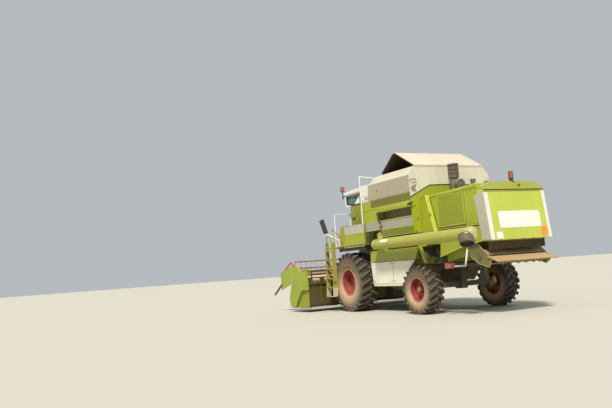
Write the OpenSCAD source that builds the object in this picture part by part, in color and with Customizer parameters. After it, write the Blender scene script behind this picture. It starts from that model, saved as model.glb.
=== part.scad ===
/* [Overall] */
// Reach of the divider points ahead of the front axle
front_reach = 4100; // [3900:10:4400]
// Reach of the rearmost edge behind the front axle
rear_reach = 6080; // [6000:10:6400]
// Distance between the front and rear axles
wheelbase = 3500; // [3400:10:3600]

/* [Front wheels] */
// Outer diameter of a front tyre
tyre_f_d = 1820; // [1760:10:1860]
// Width of a front tyre
tyre_f_w = 650; // [600:10:680]
// Diameter over the front rim's flanges
rim_f_d = 830; // [800:2:860]
// Distance between the middles of the front tyres
track_f = 2540; // [2500:10:2600]
// Lugs on each side of a front tyre
lugs_f = 23; // [18:1:26]
// Height of a front lug
lug_f_h = 44; // [30:1:50]
// Radius of a front spindle
spindle_f_r = 60; // [45:1:75]

/* [Rear wheels] */
// Outer diameter of a rear tyre
tyre_r_d = 1300; // [1240:10:1320]
// Width of a rear tyre
tyre_r_w = 470; // [420:10:490]
// Diameter over the rear rim's flanges
rim_r_d = 656; // [630:2:680]
// Distance between the middles of the rear tyres
track_r = 2610; // [2580:10:2640]
// Lugs on each side of a rear tyre
lugs_r = 20; // [16:1:24]
// Height of a rear lug
lug_r_h = 32; // [22:1:38]
// Radius of a rear spindle
spindle_r_r = 35; // [28:1:45]
// Distance between the kingpins
kingpin_span = 2100; // [2060:10:2120]

/* [Threshing body] */
// Width of the housing between the front wheels
core_w = 1560; // [1500:10:1640]
// Width of the wide section under the grain tank
wide_w = 2828; // [2780:2:2860]
// Width of the lower side shields
shield_w = 2600; // [2560:10:2640]
// Width of the rear section
rear_w = 2000; // [1940:10:2060]
// Thickness of sheet metal panels
sheet = 20; // [14:1:26]

/* [Grain tank] */
// Front wall of the tank behind the front axle
tank_x0 = -1440; // [-1500:10:-1400]
// Rear wall of the tank behind the front axle
tank_x1 = -3434; // [-3480:2:-3400]
// Height of the tank's top edge
tank_top = 4000; // [3950:10:4050]
// Height where the tank's walls begin to slope in
tank_eave = 3760; // [3720:10:3800]
// Inward slope of the tank's top band
tank_slope = 200; // [150:10:240]
// Front cover's hinge behind the front axle
lid_x0 = -1860; // [-1900:10:-1820]
// Ridge between the two covers behind the front axle
ridge_x = -2555; // [-2600:5:-2500]
// Height of the ridge between the two covers
ridge_z = 4530; // [4480:10:4580]

/* [Cab] */
// Width of the cab
cab_w = 1840; // [1760:10:1900]
// Front of the cab's floor ahead of the front axle
cab_x1 = 560; // [520:10:600]
// How far the upper windscreen bulges over the floor's front
cab_bulge = 320; // [260:10:340]
// Rear wall of the cab
cab_x0 = -760; // [-800:10:-700]
// Height of the cab's floor
cab_floor = 2050; // [2000:10:2100]
// Height of the cab's roof
cab_top = 3860; // [3800:10:3900]

/* [Header] */
// Cutting width of the header
cut_w = 4500; // [4300:10:4600]
// Width of a divider
divider_w = 80; // [60:5:110]
// Place of the knife ahead of the front axle
knife_x = 2640; // [2600:10:2700]
// Radius of the header auger's flights
auger_r = 300; // [280:5:310]
// Radius to the reel's tine bars
reel_r = 450; // [420:10:470]
// Number of tine bars
bats = 6; // [5:1:6]
// Length of a tine
tine_l = 150; // [120:5:160]

/* [Unloading auger] */
// Radius of the unloading tube
tube_r = 150; // [140:1:160]
// Distance of the tube's middle from the machine's middle
tube_y = 1600; // [1590:5:1640]
// Height of the tube's middle
tube_z = 1970; // [1950:5:1990]

/* [Hidden] */
$fn = 48;
axle_x = (rear_reach - front_reach) / 2;
axle_f_z = tyre_f_d / 2;
axle_r_z = tyre_r_d / 2;
header_w = cut_w + 40 + 2 * divider_w;
gap = 0.4;                 // clearance round a shaft
play = 6;                  // clearance of a swinging panel
lime = [0.62, 0.72, 0.16];
cream = [0.88, 0.86, 0.72];
grey = [0.72, 0.72, 0.68];
red = [0.55, 0.10, 0.10];
dark = [0.15, 0.15, 0.15];
rubber = [0.22, 0.21, 0.19];
steel = [0.55, 0.55, 0.55];

// Whole machine stands round its own middle
module machine() translate([axle_x, 0, 0]) children();
// Both sides of the machine
module both() {
    children();
    mirror([0, 1, 0]) children();
}
// Outline in x and z, made solid from y0 to y1
module slab_y(pts, y0, y1) translate([0, y1, 0]) rotate([90, 0, 0]) linear_extrude(y1 - y0) polygon(pts);
// Outline in y and z, made solid from x0 to x1
module slab_x(pts, x0, x1) translate([x0, 0, 0]) rotate([90, 0, 90]) linear_extrude(x1 - x0) polygon(pts);
// Box from its lowest to its highest corner
module block(a, b) translate(a) cube(b - a);
// Round bar between two points
module bar(a, b, r) {
    d = b - a;
    l = norm(d);
    translate(a) rotate([0, acos(d[2] / l), atan2(d[1], d[0])]) cylinder(h = l, r = r);
}
// Round bar across the machine
module bar_y(x, z, y0, y1, r) translate([x, y1, z]) rotate([90, 0, 0]) cylinder(h = y1 - y0, r = r);
// A half outline and its mirror image, as one closed outline
function both_ways(pts) = concat([for (i = [len(pts) - 1 : -1 : 0]) [pts[i][0], -pts[i][1]]], pts);
// Ram round the x axis: barrel with its eye at the origin, hollow for its rod
module ram_barrel(l, r, rod_r, eye_r, pin_r) difference() {
    union() {
        translate([eye_r * 0.7, 0, 0]) rotate([0, 90, 0]) cylinder(h = l - eye_r * 0.7, r = r);
        rotate([90, 0, 0]) translate([0, 0, -r * 0.8]) cylinder(h = r * 1.6, r = eye_r);
    }
    translate([eye_r * 2, 0, 0]) rotate([0, 90, 0]) cylinder(h = l, r = rod_r + gap);
    rotate([90, 0, 0]) translate([0, 0, -r]) cylinder(h = 2 * r, r = pin_r + gap);
}
// Rod of the ram, from x0 to its eye at x1, with a wide eye that may drift on its pin
module ram_rod(x0, x1, r, eye_r, pin_r) difference() {
    union() {
        translate([x0, 0, 0]) rotate([0, 90, 0]) cylinder(h = x1 - x0 - pin_r, r = r);
        translate([x1, 0, 0]) rotate([90, 0, 0]) translate([0, 0, -r - 5]) cylinder(h = 2 * r + 10,
            r = eye_r);
    }
    translate([x1, 0, 0]) rotate([90, 0, 0]) translate([0, 0, -2 * r]) cylinder(h = 4 * r, r = pin_r + 8);
}
// Ram laid from a to b in the x and z plane at y
module ram_at(a, b, y) translate([a[0], y, a[1]]) rotate([0, -atan2(b[1] - a[1], b[0] - a[0]), 0]) children();

// Wheels

// Tyre round the y axis: carcass and two staggered rows of slanting lugs; +y is outboard
module tyre(d, w, rim, n, lug_h, flange) {
    r = d / 2;
    base = r - lug_h;
    depth = base - rim / 2;
    pitch = 3.14159 * d / n;
    lug_w = pitch * 0.30;
    rise = pitch * 0.68;
    h = w / 2 - 9;
    // Half outlines of the carcass and of the lugs' envelope: radius and distance from the middle
    seat = w * rim_share / 2 - flange[0] - gap;
    carcass = [[rim / 2 - flange[1] * 0.75, seat - flange[2] * 0.75], [rim / 2, seat],
        [rim / 2 + depth * 0.16, h - 14], [rim / 2 + depth * 0.5, h], [base - depth * 0.22, h - 12],
        [base - 16, h - 70], [base, h - 180]];
    crown = [[base - 120, w / 2 - 8], [r - 52, w / 2], [r - 12, w / 2 - 22], [r, w / 2 - 64]];
    color(rubber) rotate([90, 0, 0]) {
        rotate_extrude() polygon(both_ways(carcass));
        intersection() {
            rotate_extrude() polygon(both_ways(crown));
            for (side = [-1, 1], i = [0 : n - 1])
                rotate([0, 0, (i + (side > 0 ? 0.5 : 0)) * 360 / n]) translate([base - 110, 0, 0])
                    rotate([0, 90, 0]) linear_extrude(lug_h + 150)
                        polygon([[-side * 14, 0], [side * w * 0.3, rise * 0.52], [side * (w / 2 + 5), rise],
                            [side * (w / 2 + 5), rise + lug_w * 1.2],
                                [side * w * 0.3, rise * 0.52 + lug_w * 1.2],
                            [-side * 14, lug_w]]);
        }
    }
}
// Lip, depth and slope of a rim's flange, which the tyre's bead is seated on
flange_f = [16, 26, 18];
flange_r = [12, 20, 16];
// Width of a rim as a share of its tyre's
rim_share = 0.86;
// Front wheel: flanged barrel, deep dished disc and a hub with a through bore; +y is outboard
module rim_front() color(red) rotate([90, 0, 0]) rotate_extrude($fn = 96) {
    r = rim_f_d / 2;
    w = tyre_f_w * rim_share;
    polygon([[r, -w / 2], [r, -w / 2 + 16], [r - 26, -w / 2 + 34], [r - 40, -30], [r - 40, 30],
        [r - 26, w / 2 - 34], [r, w / 2 - 16], [r, w / 2], [r - 14, w / 2], [r - 40, w / 2 - 30],
        [r - 54, 30], [r - 54, -20], [230, -66], [160, -52], [140, 40], [spindle_f_r + gap, 40],
        [spindle_f_r + gap, -110], [150, -110], [160, -72], [230, -84], [r - 54, -38], [r - 40, -w / 2 + 30],
        [r - 14, -w / 2]]);
}
// Rear wheel: shallower disc with a long hub
module rim_rear() color(red) rotate([90, 0, 0]) rotate_extrude($fn = 96) {
    r = rim_r_d / 2;
    w = tyre_r_w * rim_share;
    polygon([[r, -w / 2], [r, -w / 2 + 12], [r - 20, -w / 2 + 28], [r - 32, 0], [r - 20, w / 2 - 28],
        [r, w / 2 - 12], [r, w / 2], [r - 12, w / 2], [r - 32, w / 2 - 26], [r - 44, 20], [170, 10], [95, 24],
        [85, 130], [spindle_r_r + gap, 130], [spindle_r_r + gap, -90], [95, -90], [100, -10], [170, -14],
        [r - 44, -10], [r - 32, -w / 2 + 26], [r - 12, -w / 2]]);
}
// Places of the wheels
module at_front(s) machine() translate([0, s * track_f / 2, axle_f_z]) mirror([0, s < 0 ? 1 : 0,
    0]) mirror([0, 1, 0]) children();
module at_rear(s) machine() translate([-wheelbase, s * track_r / 2, axle_r_z]) mirror([0, s < 0 ? 1 : 0,
    0]) mirror([0, 1, 0]) children();
module tyre_front_left() at_front(1) tyre(tyre_f_d, tyre_f_w, rim_f_d, lugs_f, lug_f_h, flange_f);
module tyre_front_right() at_front(-1) tyre(tyre_f_d, tyre_f_w, rim_f_d, lugs_f, lug_f_h, flange_f);
module tyre_rear_left() at_rear(1) tyre(tyre_r_d, tyre_r_w, rim_r_d, lugs_r, lug_r_h, flange_r);
module tyre_rear_right() at_rear(-1) tyre(tyre_r_d, tyre_r_w, rim_r_d, lugs_r, lug_r_h, flange_r);
module rim_front_left() at_front(1) rim_front();
module rim_front_right() at_front(-1) rim_front();
module rim_rear_left() at_rear(1) rim_rear();
module rim_rear_right() at_rear(-1) rim_rear();

// Running gear

// Front axle: tube across, final drive housings, spindles, and the ears for the lift rams
module front_axle() color(dark) machine() {
    bar_y(0, axle_f_z, -track_f / 2 + 340, track_f / 2 - 340, axle_tube_r);
    both() {
        bar_y(0, axle_f_z, track_f / 2 - 420, track_f / 2 - 180, 190);
        bar_y(0, axle_f_z, track_f / 2 - 200, track_f / 2 + 30, spindle_f_r);
        for (y = [lift_y - 77, lift_y + 52]) slab_y([[-60, axle_f_z - 60], [80, axle_f_z - 30],
            [lift_base[0] + 45, lift_base[1]],
            [lift_base[0] + 20, lift_base[1] - 45], [lift_base[0] - 40, lift_base[1] - 30]], y, y + 25);
        bar_y(lift_base[0], lift_base[1], lift_y - 77, lift_y + 77, 22);
    }
}
// Rear axle: box beam with a pivot block in the middle, forked ends and the steering ram's barrel
module rear_axle() color(lime) machine() translate([-wheelbase, 0, axle_r_z]) {
    kp = kingpin_span / 2;
    difference() {
        union() {
            block([-70, -kp + 20, -10], [70, kp - 20, 130]);
            both() block([-65, kp - 130, -130], [65, kp + 62, 130]);
            block([-130, -110, -60], [130, 110, 190]);
            bar([-165, 0, 140], [165, 0, 140], 25);
            bar_y(200, 30, -260, 260, 42);
            both() block([60, 180, 0], [200, 240, 70]);
        }
        both() translate([0, kp, 0]) {
            translate([0, 0, -200]) cylinder(h = 400, r = 30 + gap);
            block([-80, -90, -86], [80, 90, 86]);
        }
        bar_y(200, 30, -300, 300, 18 + gap);
    }
}
// Knuckle: kingpin barrel, spindle and steering arm
module knuckle(s) color(lime) machine() translate([-wheelbase, s * kingpin_span / 2, axle_r_z]) mirror([0,
    s < 0 ? 1 : 0, 0]) {
    reach = (track_r - kingpin_span) / 2;
    translate([0, 0, -150]) cylinder(h = 300, r = 30);
    translate([0, 0, -80]) cylinder(h = 160, r = 58);
    translate([0, 40, 0]) rotate([-90, 0, 0]) cylinder(h = reach + 100, r = spindle_r_r);
    rotate([-90, 0, 0]) cylinder(h = 110, r = 56);
    block([20, -28, -24], [230, 28, 0]);
}
module knuckle_left() knuckle(1);
module knuckle_right() knuckle(-1);
// Rod through the steering ram, with a pad over each knuckle's arm
module steering_rod() color(steel) machine() translate([-wheelbase, 0, axle_r_z]) {
    bar_y(200, 30, -kingpin_span / 2, kingpin_span / 2, 18);
    both() translate([200, kingpin_span / 2, 8]) cylinder(h = 40, r = 34);
}
// Chassis: two side rails, cross members, axle brackets and the ears of the feeder's pivot
module chassis_frame() color(dark) machine() {
    rail_y = belly_w / 2;
    both() {
        block([-4500, rail_y, 1170], [480, rail_y + 70, 1300]);
        difference() {
            slab_y([[-260, 1170], [260, 1170], [130, 790], [-130, 790]], rail_y, rail_y + 70);
            bar_y(0, axle_f_z, rail_y - 10, rail_y + 80, axle_tube_r + gap);
        }
        difference() {
            slab_y([[480, 1330], [480, 1470], [590, 1450], [590, 1350]], 604, 634);
            bar_y(feeder_pin[0], feeder_pin[1], 600, 640, 30 + gap);
        }
    }
    for (x = [-4490, -3980]) block([x, -rail_y, 1170], [x + 90, rail_y, 1260]);
    // Outriggers and outer beam under the platform
    for (x = [-900, -320, 260]) block([x, core_w / 2, 1900], [x + 70, 1400, 1980]);
    block([-1000, 1400, 1880], [570, 1460, 1980]);
    both() for (x = [-900, 260]) block([x, core_w / 2, 1980], [x + 70, 900, 2000]);
    block([-wheelbase - 150, -rail_y, 1180], [-wheelbase + 150, rail_y, 1270]);
    difference() {
        for (x = [-wheelbase - 150, -wheelbase + 134]) block([x, -90, axle_r_z + 20], [x + 16, 90, 1190]);
        bar([-wheelbase - 200, 0, axle_r_z + 140], [-wheelbase + 200, 0, axle_r_z + 140], 25 + gap);
    }
}
// Hitch: a clevis with a pin bore
module tow_hitch() color(dark) machine() difference() {
    slab_y([[-4520, 1170], [-4410, 1170], [-4300, 780], [-4330, 700], [-4700, 700], [-4700, 780],
        [-4590, 780], [-4560, 830]], -60, 60);
    translate([-4650, 0, 600]) cylinder(h = 300, r = hitch_r);
    block([-4710, -70, 726], [-4600, 70, 756]);
}
// Rams that raise the header: barrels on the front axle, rods under the feeder
lift_base = [120, 700];
lift_eye = [900, 560];
lift_y = 480;
lift_l = norm(lift_eye - lift_base);
feeder_pin = [530, 1400];
axle_tube_r = 105;
belly_w = 1280;
hitch_r = 16;
module lift_barrels() color(steel) machine() both() ram_at(lift_base, lift_eye, lift_y)
    ram_barrel(lift_l - 150, 45, 26, 46, 22);
module lift_rods() color(steel) machine() both() ram_at(lift_base, lift_eye, lift_y)
    ram_rod(200, lift_l, 26, 52, 20);

// Housings

// Underside of the rear housing at x
function low_z(x) = 1699.95 + (-4905 - x) * 100 / 755;
// Threshing and cleaning housing: belly between the rails, upper box, and the wide strips over the shields
module threshing_body() color(lime) machine() {
    slab_y([[480, 1310], [480, 1250], [320, 1150], [-260, 1060], [-900, 690], [-1500, 600],
        [940 - wheelbase, 600],
        [740 - wheelbase, 720], [270 - wheelbase, 1310]], -belly_w / 2, belly_w / 2);
    slab_y([[480, 1310], [-3900, 1310], [-4900, 1500], [-4900, deck_z], [-1060, deck_z], [-1060, 2000],
        [480, 2000]],
        -core_w / 2, core_w / 2);
    both() {
        slab_y([[-1000, 1480], [-1040, 1790], [tank_x1, 1790], [-3270, 1480]], core_w / 2, shield_w / 2);
        block([tank_x1, core_w / 2, 1790], [-1060, 1000, deck_z]);
        // Lugs of the shields' hinge rods
        for (x = shield_lugs) difference() {
            block([x - 15, shield_y - 14, shield_z - 14], [x + 15, shield_y + 14, 1480]);
            bar([x - 20, shield_y, shield_z], [x + 20, shield_y, shield_z], 8 + gap);
        }
    }
    // Turntable under the unloading elbow
    translate([swing_x, swing_y, 1790]) cylinder(h = 10, r = 165);
}
deck_z = 2165;
box_x = -975;
shield_z = 1462;
shield_y = shield_w / 2 - 16;
shield_lugs = [-3000, -2100, -1200];
swing_x = -1700;
swing_y = 1250;
// Rear housing: engine deck and walker sides, with the stepped panel
module rear_body() color(lime) machine() {
    difference() {
        slab_y([[tank_x1, deck_z], [tank_x1, 3140], [-4500, 3140], [-5560, 3190], [-5690, 2190],
            [-5660, 1800], [-4905, 1700],
            [-4905, deck_z]], -rear_w / 2, rear_w / 2);
        block([-5100, -rear_w / 2 - 1, 2270], [-4090, rear_w / 2 + 1, 3040]);
    }
    both() {
        slab_y([[-4905, 1700], [-3975, 1483], [-4020, 1820], [tank_x1, 1820], [tank_x1, deck_z],
            [-4905, deck_z]],
            core_w / 2, rear_w / 2);
        // Folded lip along the top edge
        slab_y([[-3720, 3084], [-3720, 3158], [-4500, 3164], [-5556, 3200], [-5556, 3110],
            [-4500, 3084]], rear_w / 2, rear_w / 2 + 10);
        slab_y([[tank_x1 - 6, 1830], [tank_x1 - 6, 3150], [-3700, 3150], [-3960, 2130],
            [-3900, 1830]], rear_w / 2, rear_w / 2 + 120);
        // Slanted strut down to the lower side
        slab_y([[-3440, 1790], [-3525, 1790], [-3730, 1345], [-3650, 1345]], 1240, 1300);
        block([-3540, rear_w / 2, 1790], [-3440, 1300, 1830]);
        for (z = bay_lugs) difference() {
            block([-5150, rear_w / 2, z], [-5122, rear_w / 2 + 32, z + 30]);
            translate([-5134, rear_w / 2 + play + 12, z - 1]) cylinder(h = 32, r = 8 + gap);
        }
    }
}
// Rear hood: slanted rear face with a chamfered top
module rear_hood() color(lime) machine() {
    difference() {
        slab_y([[-5564, 3194], [-5564, 3216], [-5760, 3216], [-5820, 2920], [-5940, 1770], [-5663, 1770],
            [-5694, 2190]], -990, 990);
        // Sloped upper corners
        both() slab_x([[700, 3221], [1000, 3079], [1000, 3230], [700, 3230]], -6000, -5500);
    }
}
// Straw chopper housing under the hood: slender side arms, top plate and front guide sheet
module chopper_housing() color(lime) machine() {
    both() difference() {
        slab_y([[-5055, low_z(-5055)], [-5380, low_z(-5380)], [-5551, 1572], [-5848, 1335], [-5724, 1130],
            [-5371, 1235],
            [-5117, 1415], [-5055, 1515]], 930, 950);
        bar_y(fan_x, fan_z, 900, 960, 14 + gap);
    }
    slab_y([[-5080, low_z(-5080)], [-5640, low_z(-5640)], [-5640, low_z(-5640) - 20],
        [-5080, low_z(-5080) - 20]], -930, 930);
    slab_y([[-5060, 1690], [-5060, 1520], [-5130, 1430], [-5371, 1250], [-5560, 1205], [-5564, 1223],
        [-5377, 1267],
        [-5142, 1443], [-5078, 1527], [-5078, 1690]], -930, 930);
    // Cover over the rotor's rear
    slab_y([[-5551, 1572], [-5715, 1441], [-5706, 1430], [-5542, 1561]], -930, 930);
    both() bar_y(chop_x, chop_z, 950, 975, 60);
}
// Chopper rotor: tube with rows of paired knives
chop_x = -5450;
chop_z = 1410;
module chopper_rotor() color(steel) machine() translate([chop_x, 0, chop_z]) {
    bar_y(0, 0, -925, 925, 65);
    for (k = [0 : 3], y = [-900 : 232 : 724]) rotate([0, k * 90, 0]) block([50, y + k * 50, -18],
        [144, y + k * 50 + 12, 18]);
}
// Spreading plate behind the chopper, with its hinge rod and guide fins
fan_x = -5735;
fan_z = 1385;
module deflector() color(lime) machine() {
    difference() {
        slab_y([[-5727, 1378], [-5735, 1398], [-rear_reach, 1268], [-rear_reach + 10, 1248]], -985, 985);
        both() block([-5875, 922, 1200], [-5700, 958, 1450]);
    }
    bar_y(fan_x, fan_z, -985, 985, 14);
    for (y = [-750 : 250 : 750]) slab_y([[-5770, 1372], [-6055, 1264], [-5995, 1180],
        [-5800, 1240]], y - 5, y + 5);
}
module engine_block() color(dark) machine() block([-4950, -380, 2270], [-4180, 420, 2980]);
// Underside of the tank's hopper at y
function hopper_z(y) = 2639.95 + (y - 900) * 440 / (wide_w / 2 - 900);
// Grain tank: open above, sloped band at its top and hopper floor below
module grain_tank() color(cream) machine() {
    t = sheet;
    hw = wide_w / 2;
    difference() {
        slab_x([[-hw, 3080], [-hw, tank_eave], [-hw + tank_slope, tank_top], [hw - tank_slope, tank_top],
            [hw, tank_eave],
            [hw, 3080], [900, 2640], [-900, 2640]], tank_x1, tank_x0);
        slab_x([[-hw + t, 3090], [-hw + t, tank_eave - 6], [-hw + tank_slope + t, tank_top + 1],
            [hw - tank_slope - t, tank_top + 1],
            [hw - t, tank_eave - 6], [hw - t, 3090], [880, 2662], [-880, 2662]], tank_x1 + t, tank_x0 - t);
    }
    // Fixed deck ahead of the front cover
    block([lid_x0 - 20, -hw + tank_slope + 8, tank_top - t], [tank_x0 - t / 2, hw - tank_slope - 8,
        tank_top]);
    // Ears of the covers' hinges
    for (x = [lid_x0, tank_x1 + 10], y = lid_ears) difference() {
        block([x - 10, y - 8, tank_top], [x + 10, y + 8, lid_z + 16]);
        bar_y(x, lid_z + 2, y - 10, y + 10, 9 + gap);
    }
}
// Striped side panels with their open recess, and the boxes that carry the tank
module tank_panels() color(grey) machine() {
    hw = wide_w / 2;
    both() {
        difference() {
            slab_y([[box_x, 2390], [box_x, 3285], [tank_x0, 3285], [tank_x0, 3060], [tank_x1, 3060],
                [tank_x1, deck_z + 5],
                [box_x - 940, deck_z + 5], [box_x - 930, 2390]], hw - sheet, hw);
            slab_y([[tank_x0 - 310, 2885], [tank_x1 - 1, 2885], [tank_x1 - 1, 2650],
                [tank_x0 - 270, 2650]], hw - sheet - 1, hw + 1);
        }
        slab_x([[1125, deck_z + 5], [hw - sheet, deck_z + 5], [hw - sheet, hopper_z(hw - sheet)],
            [1125, hopper_z(1125)]], tank_x1, tank_x1 + sheet);
        block([tank_x0, 880, 2390], [tank_x0 + sheet, hw - sheet, 2630]);
        block([box_x - sheet, cab_w / 2 + 40, 2390], [box_x, hw - sheet, 3285]);
        block([tank_x0, cab_w / 2 + 40, 3285 - sheet], [box_x - sheet, hw - sheet, 3285]);
    }
    block([tank_x1, -880, deck_z], [tank_x0, 880, 2640]);
}
module filling_auger() color(steel) machine() {
    bar([-2437, 0, 2662], [-2437, 0, 4200], 110);
    bar_y(-2437, 2745, -860, 860, 70);
}
// Tank covers, raised so that they lean together in a ridge, each on a rod through ears on the tank's rim
module cover(x, dir) color(cream) machine() {
    run = abs(ridge_x - x) - 10;
    hw = wide_w / 2 - tank_slope;
    difference() {
        slab_y([[x, lid_z], [x - dir * 4, lid_z + 22], [x + dir * run, ridge_z],
            [x + dir * run, ridge_z - 24]], -hw, hw);
        for (y = lid_ears) block([x - 24, y - 14, lid_z - 30], [x + 24, y + 14, lid_z + 34]);
    }
    bar_y(x, lid_z + 2, -hw, hw, 9);
}
lid_z = tank_top + 14;
lid_ears = [-900, -300, 300, 900];
module cover_front() cover(lid_x0, -1);
module cover_rear() cover(tank_x1 + 10, 1);

// Cab

module cab_side_outline(in) polygon([[cab_x0 + in, cab_floor + in], [cab_x0 + in, cab_top - 90 - in],
    [cab_x1 + cab_bulge - in, cab_top - 110 - in], [cab_x1 + cab_bulge - in, 3380 + in],
        [cab_x1 - in, 3300 + in], [cab_x1 - in, cab_floor + in]]);
// Outline of the door's opening, grown by out; the door itself is drawn in by its play
module door_outline(out) polygon([[door_x - out, cab_floor + 60 - out], [door_x - out, cab_top - 150 + out],
    [cab_x1 + cab_bulge - 60 + out, cab_top - 150 + out], [cab_x1 + cab_bulge - 60 + out, 3440 - out],
    [cab_x1 - 60 + out, 3350 - out], [cab_x1 - 60 + out, cab_floor + 60 - out]]);
// Window of the door
module door_window(y0, y1) slab_y([[door_x + 56, 3400], [door_x + 56, cab_top - 180],
    [cab_x1 + cab_bulge - 112, cab_top - 180],
    [cab_x1 + cab_bulge - 112, 3482], [cab_x1 - 96, 3400]], y0, y1);
// Cab shell: floor, rear wall, posts and sills, open where the windows and the door are
module cab_frame() color(cream) machine() {
    h = cab_w / 2;
    difference() {
        translate([0, h, 0]) rotate([90, 0, 0]) linear_extrude(cab_w) cab_side_outline(0);
        translate([0, h - 45, 0]) rotate([90, 0, 0]) linear_extrude(cab_w - 90) cab_side_outline(45);
        // Lower and upper windscreen
        block([cab_x1 - 60, -h + 70, 2480], [cab_x1 + 10, h - 70, 3270]);
        block([cab_x1 + cab_bulge - 60, -h + 70, 3450], [cab_x1 + cab_bulge + 10, h - 70, cab_top - 190]);
        // Rear window
        block([cab_x0 - 10, -h + 160, 3000], [cab_x0 + 60, h - 160, cab_top - 200]);
        // Door on the left
        translate([0, h + 10, 0]) rotate([90, 0, 0]) linear_extrude(70) door_outline(0);
        // Window on the right
        block([door_x, -h - 10, 3000], [cab_x1 - 60, -h + 60, cab_top - 190]);
    }
    // Lugs of the door's hinge
    for (z = door_lugs) difference() {
        block([door_x - 18, h, z], [door_x + 22, h + 18, z + 30]);
        bar([door_x + 10, h + 8, z - 2], [door_x + 10, h + 8, z + 32], 8 + gap);
    }
}
door_x = -80;
// Top of the cab's walls at x
function roof_z(x) = cab_top - 89.95 - (x - cab_x0) * 20 / (cab_x1 + cab_bulge - cab_x0);
// Roof that rises to the rear, with the side cheeks of its air conditioner
module cab_roof() color(cream) machine() {
    h = cab_w / 2 + 30;
    slab_y([[cab_x0 - 20, roof_z(cab_x0 - 20)], [cab_x0 - 20, cab_top + 30], [cab_x0 + 300, cab_top + 50],
        [cab_x1 + cab_bulge, cab_top - 35],
        [cab_x1 + cab_bulge + 30, roof_z(cab_x1 + cab_bulge + 30)]], -h, h);
    both() slab_y([[-600, 3357], [-600, 3800], [-176, 3800], [-176, 3357]], cab_w / 2, h);
}
module cab_glass() color([0.4, 0.6, 0.6, 0.5]) machine() {
    h = cab_w / 2;
    block([cab_x1 - 28, -h + 70, 2480], [cab_x1 - 22, h - 70, 3270]);
    block([cab_x1 + cab_bulge - 28, -h + 70, 3450], [cab_x1 + cab_bulge - 22, h - 70, cab_top - 190]);
    block([cab_x0 + 20, -h + 160, 3000], [cab_x0 + 26, h - 160, cab_top - 200]);
    block([door_x, -h + 20, 3000], [cab_x1 - 60, -h + 26, cab_top - 190]);
}
// Door hinged at its rear edge: a rod in knuckles that turns in the frame's lugs
module cab_door() color(lime) machine() {
    h = cab_w / 2;
    x0 = door_x + play;
    difference() {
        translate([0, h - 4, 0]) rotate([90, 0, 0]) linear_extrude(34) door_outline(-play);
        door_window(h - 50, h + 10);
        for (z = door_lugs) block([x0 - 1, h - 40, z - 5], [x0 + 28, h, z + 36]);
    }
    for (z = door_lugs) {
        block([x0 + 4, h - 8, z - 40], [x0 + 26, h + 12, z - 6]);
        bar([x0 + 4, h + 8, z - 40], [x0 + 4, h + 8, z + 34], 8);
    }
}
door_lugs = [2300, 3600];
module door_glass() color([0.4, 0.6, 0.6, 0.5]) machine() door_window(cab_w / 2 - 24, cab_w / 2 - 18);
module seat() color(dark) machine() {
    block([-420, -240, cab_floor + 45], [-120, 240, cab_floor + 381]);
    block([-480, -260, cab_floor + 380], [20, 260, cab_floor + 500]);
    slab_y([[-480, cab_floor + 499], [-360, cab_floor + 499], [-440, cab_floor + 1080],
        [-540, cab_floor + 1080]], -250, 250);
}
module steering_column() color(dark) machine() {
    translate([420, 0, cab_floor + 45]) cylinder(h = 60, r = 70);
    bar([415, 0, cab_floor + 80], [300, 0, cab_floor + 780], 45);
    translate([296, 0, cab_floor + 780]) rotate([0, -10, 0]) rotate_extrude() translate([190, 0]) circle(14);
    translate([296, 0, cab_floor + 780]) rotate([0, -10, 0]) block([-185, -18, -8], [185, 18, 8]);
}
// Platform beside and before the cab with its closed side board
module platform() color(grey) machine() {
    block([-1060, cab_w / 2, 2000], [1022, 1500, 2040]);
    block([cab_x1, 640, 2000], [1022, cab_w / 2, 2040]);
    slab_y([[-1056, 1980], [-1056, 2650], [40, 2650], [140, 1980]], 1480, 1500);
    block([-1060, -cab_w / 2, 2000], [cab_x1, cab_w / 2, cab_floor]);
}
// Ladder at the platform's front, with its folding lowest step
module ladder() color([0.75, 0.72, 0.15]) machine() {
    for (x = [560, 1000]) slab_x([[1612, 2200], [1612, 700], [1650, 480], [1800, 480], [1790, 700],
        [1720, 2200]], x, x + 22);
    for (i = [0 : 5]) block([582, 1640 + (6 - i) * 8, 470 + i * 288], [1000, 1780 - i * 6, 495 + i * 288]);
    block([560, 1500, 2000], [1022, 1612, 2040]);
    // Post and gusset ahead of the side board
    slab_y([[170, 2040], [110, 2370], [135, 2676], [300, 2676], [426, 2370], [420, 2040]], 1484, 1500);
}
module railings() color("white") machine() {
    r = 16;
    for (y = [720, 1330]) bar([960, y, 2040], [960, y, 3150], r);
    bar([960, 704, 3134], [960, 1346, 3134], r);
    // Grab rail from the board's top, bent back to the tank
    bar([-1040, 1490, 2650], [-1040, 1490, 4090], r);
    bar([-1034, 1494, 4080], [tank_x0 + 10, 1236, tank_top - 27], r);
}
module mirrors() color(dark) machine() {
    bar([512, 1470, 2040], [512, 1470, 2272], 14);
    bar([512, 1470, 2260], [800, 1770, 2500], 14);
    // Mirror, leaning outward at its top
    translate([800, 1846, 2720]) rotate([-16.7, 0, 0]) block([-16, -80, -245], [16, 80, 245]);
}
module beacons() color([0.85, 0.35, 0.15]) machine() {
    slab_y([[cab_x1 + cab_bulge, cab_top - 35], [cab_x1 + cab_bulge + 30, roof_z(cab_x1 + cab_bulge + 30)],
        [1065, 3640], [1065, 3665]], 890, 910);
    translate([1050, 900, 3655]) cylinder(h = 250, r = 14);
    translate([1050, 900, 3900]) cylinder(h = 160, r = 70);
    translate([-5710, -45, 3216]) {
        cylinder(h = 70, r = 45);
        translate([0, 0, 70]) cylinder(h = 190, r = 62);
    }
}
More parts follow.
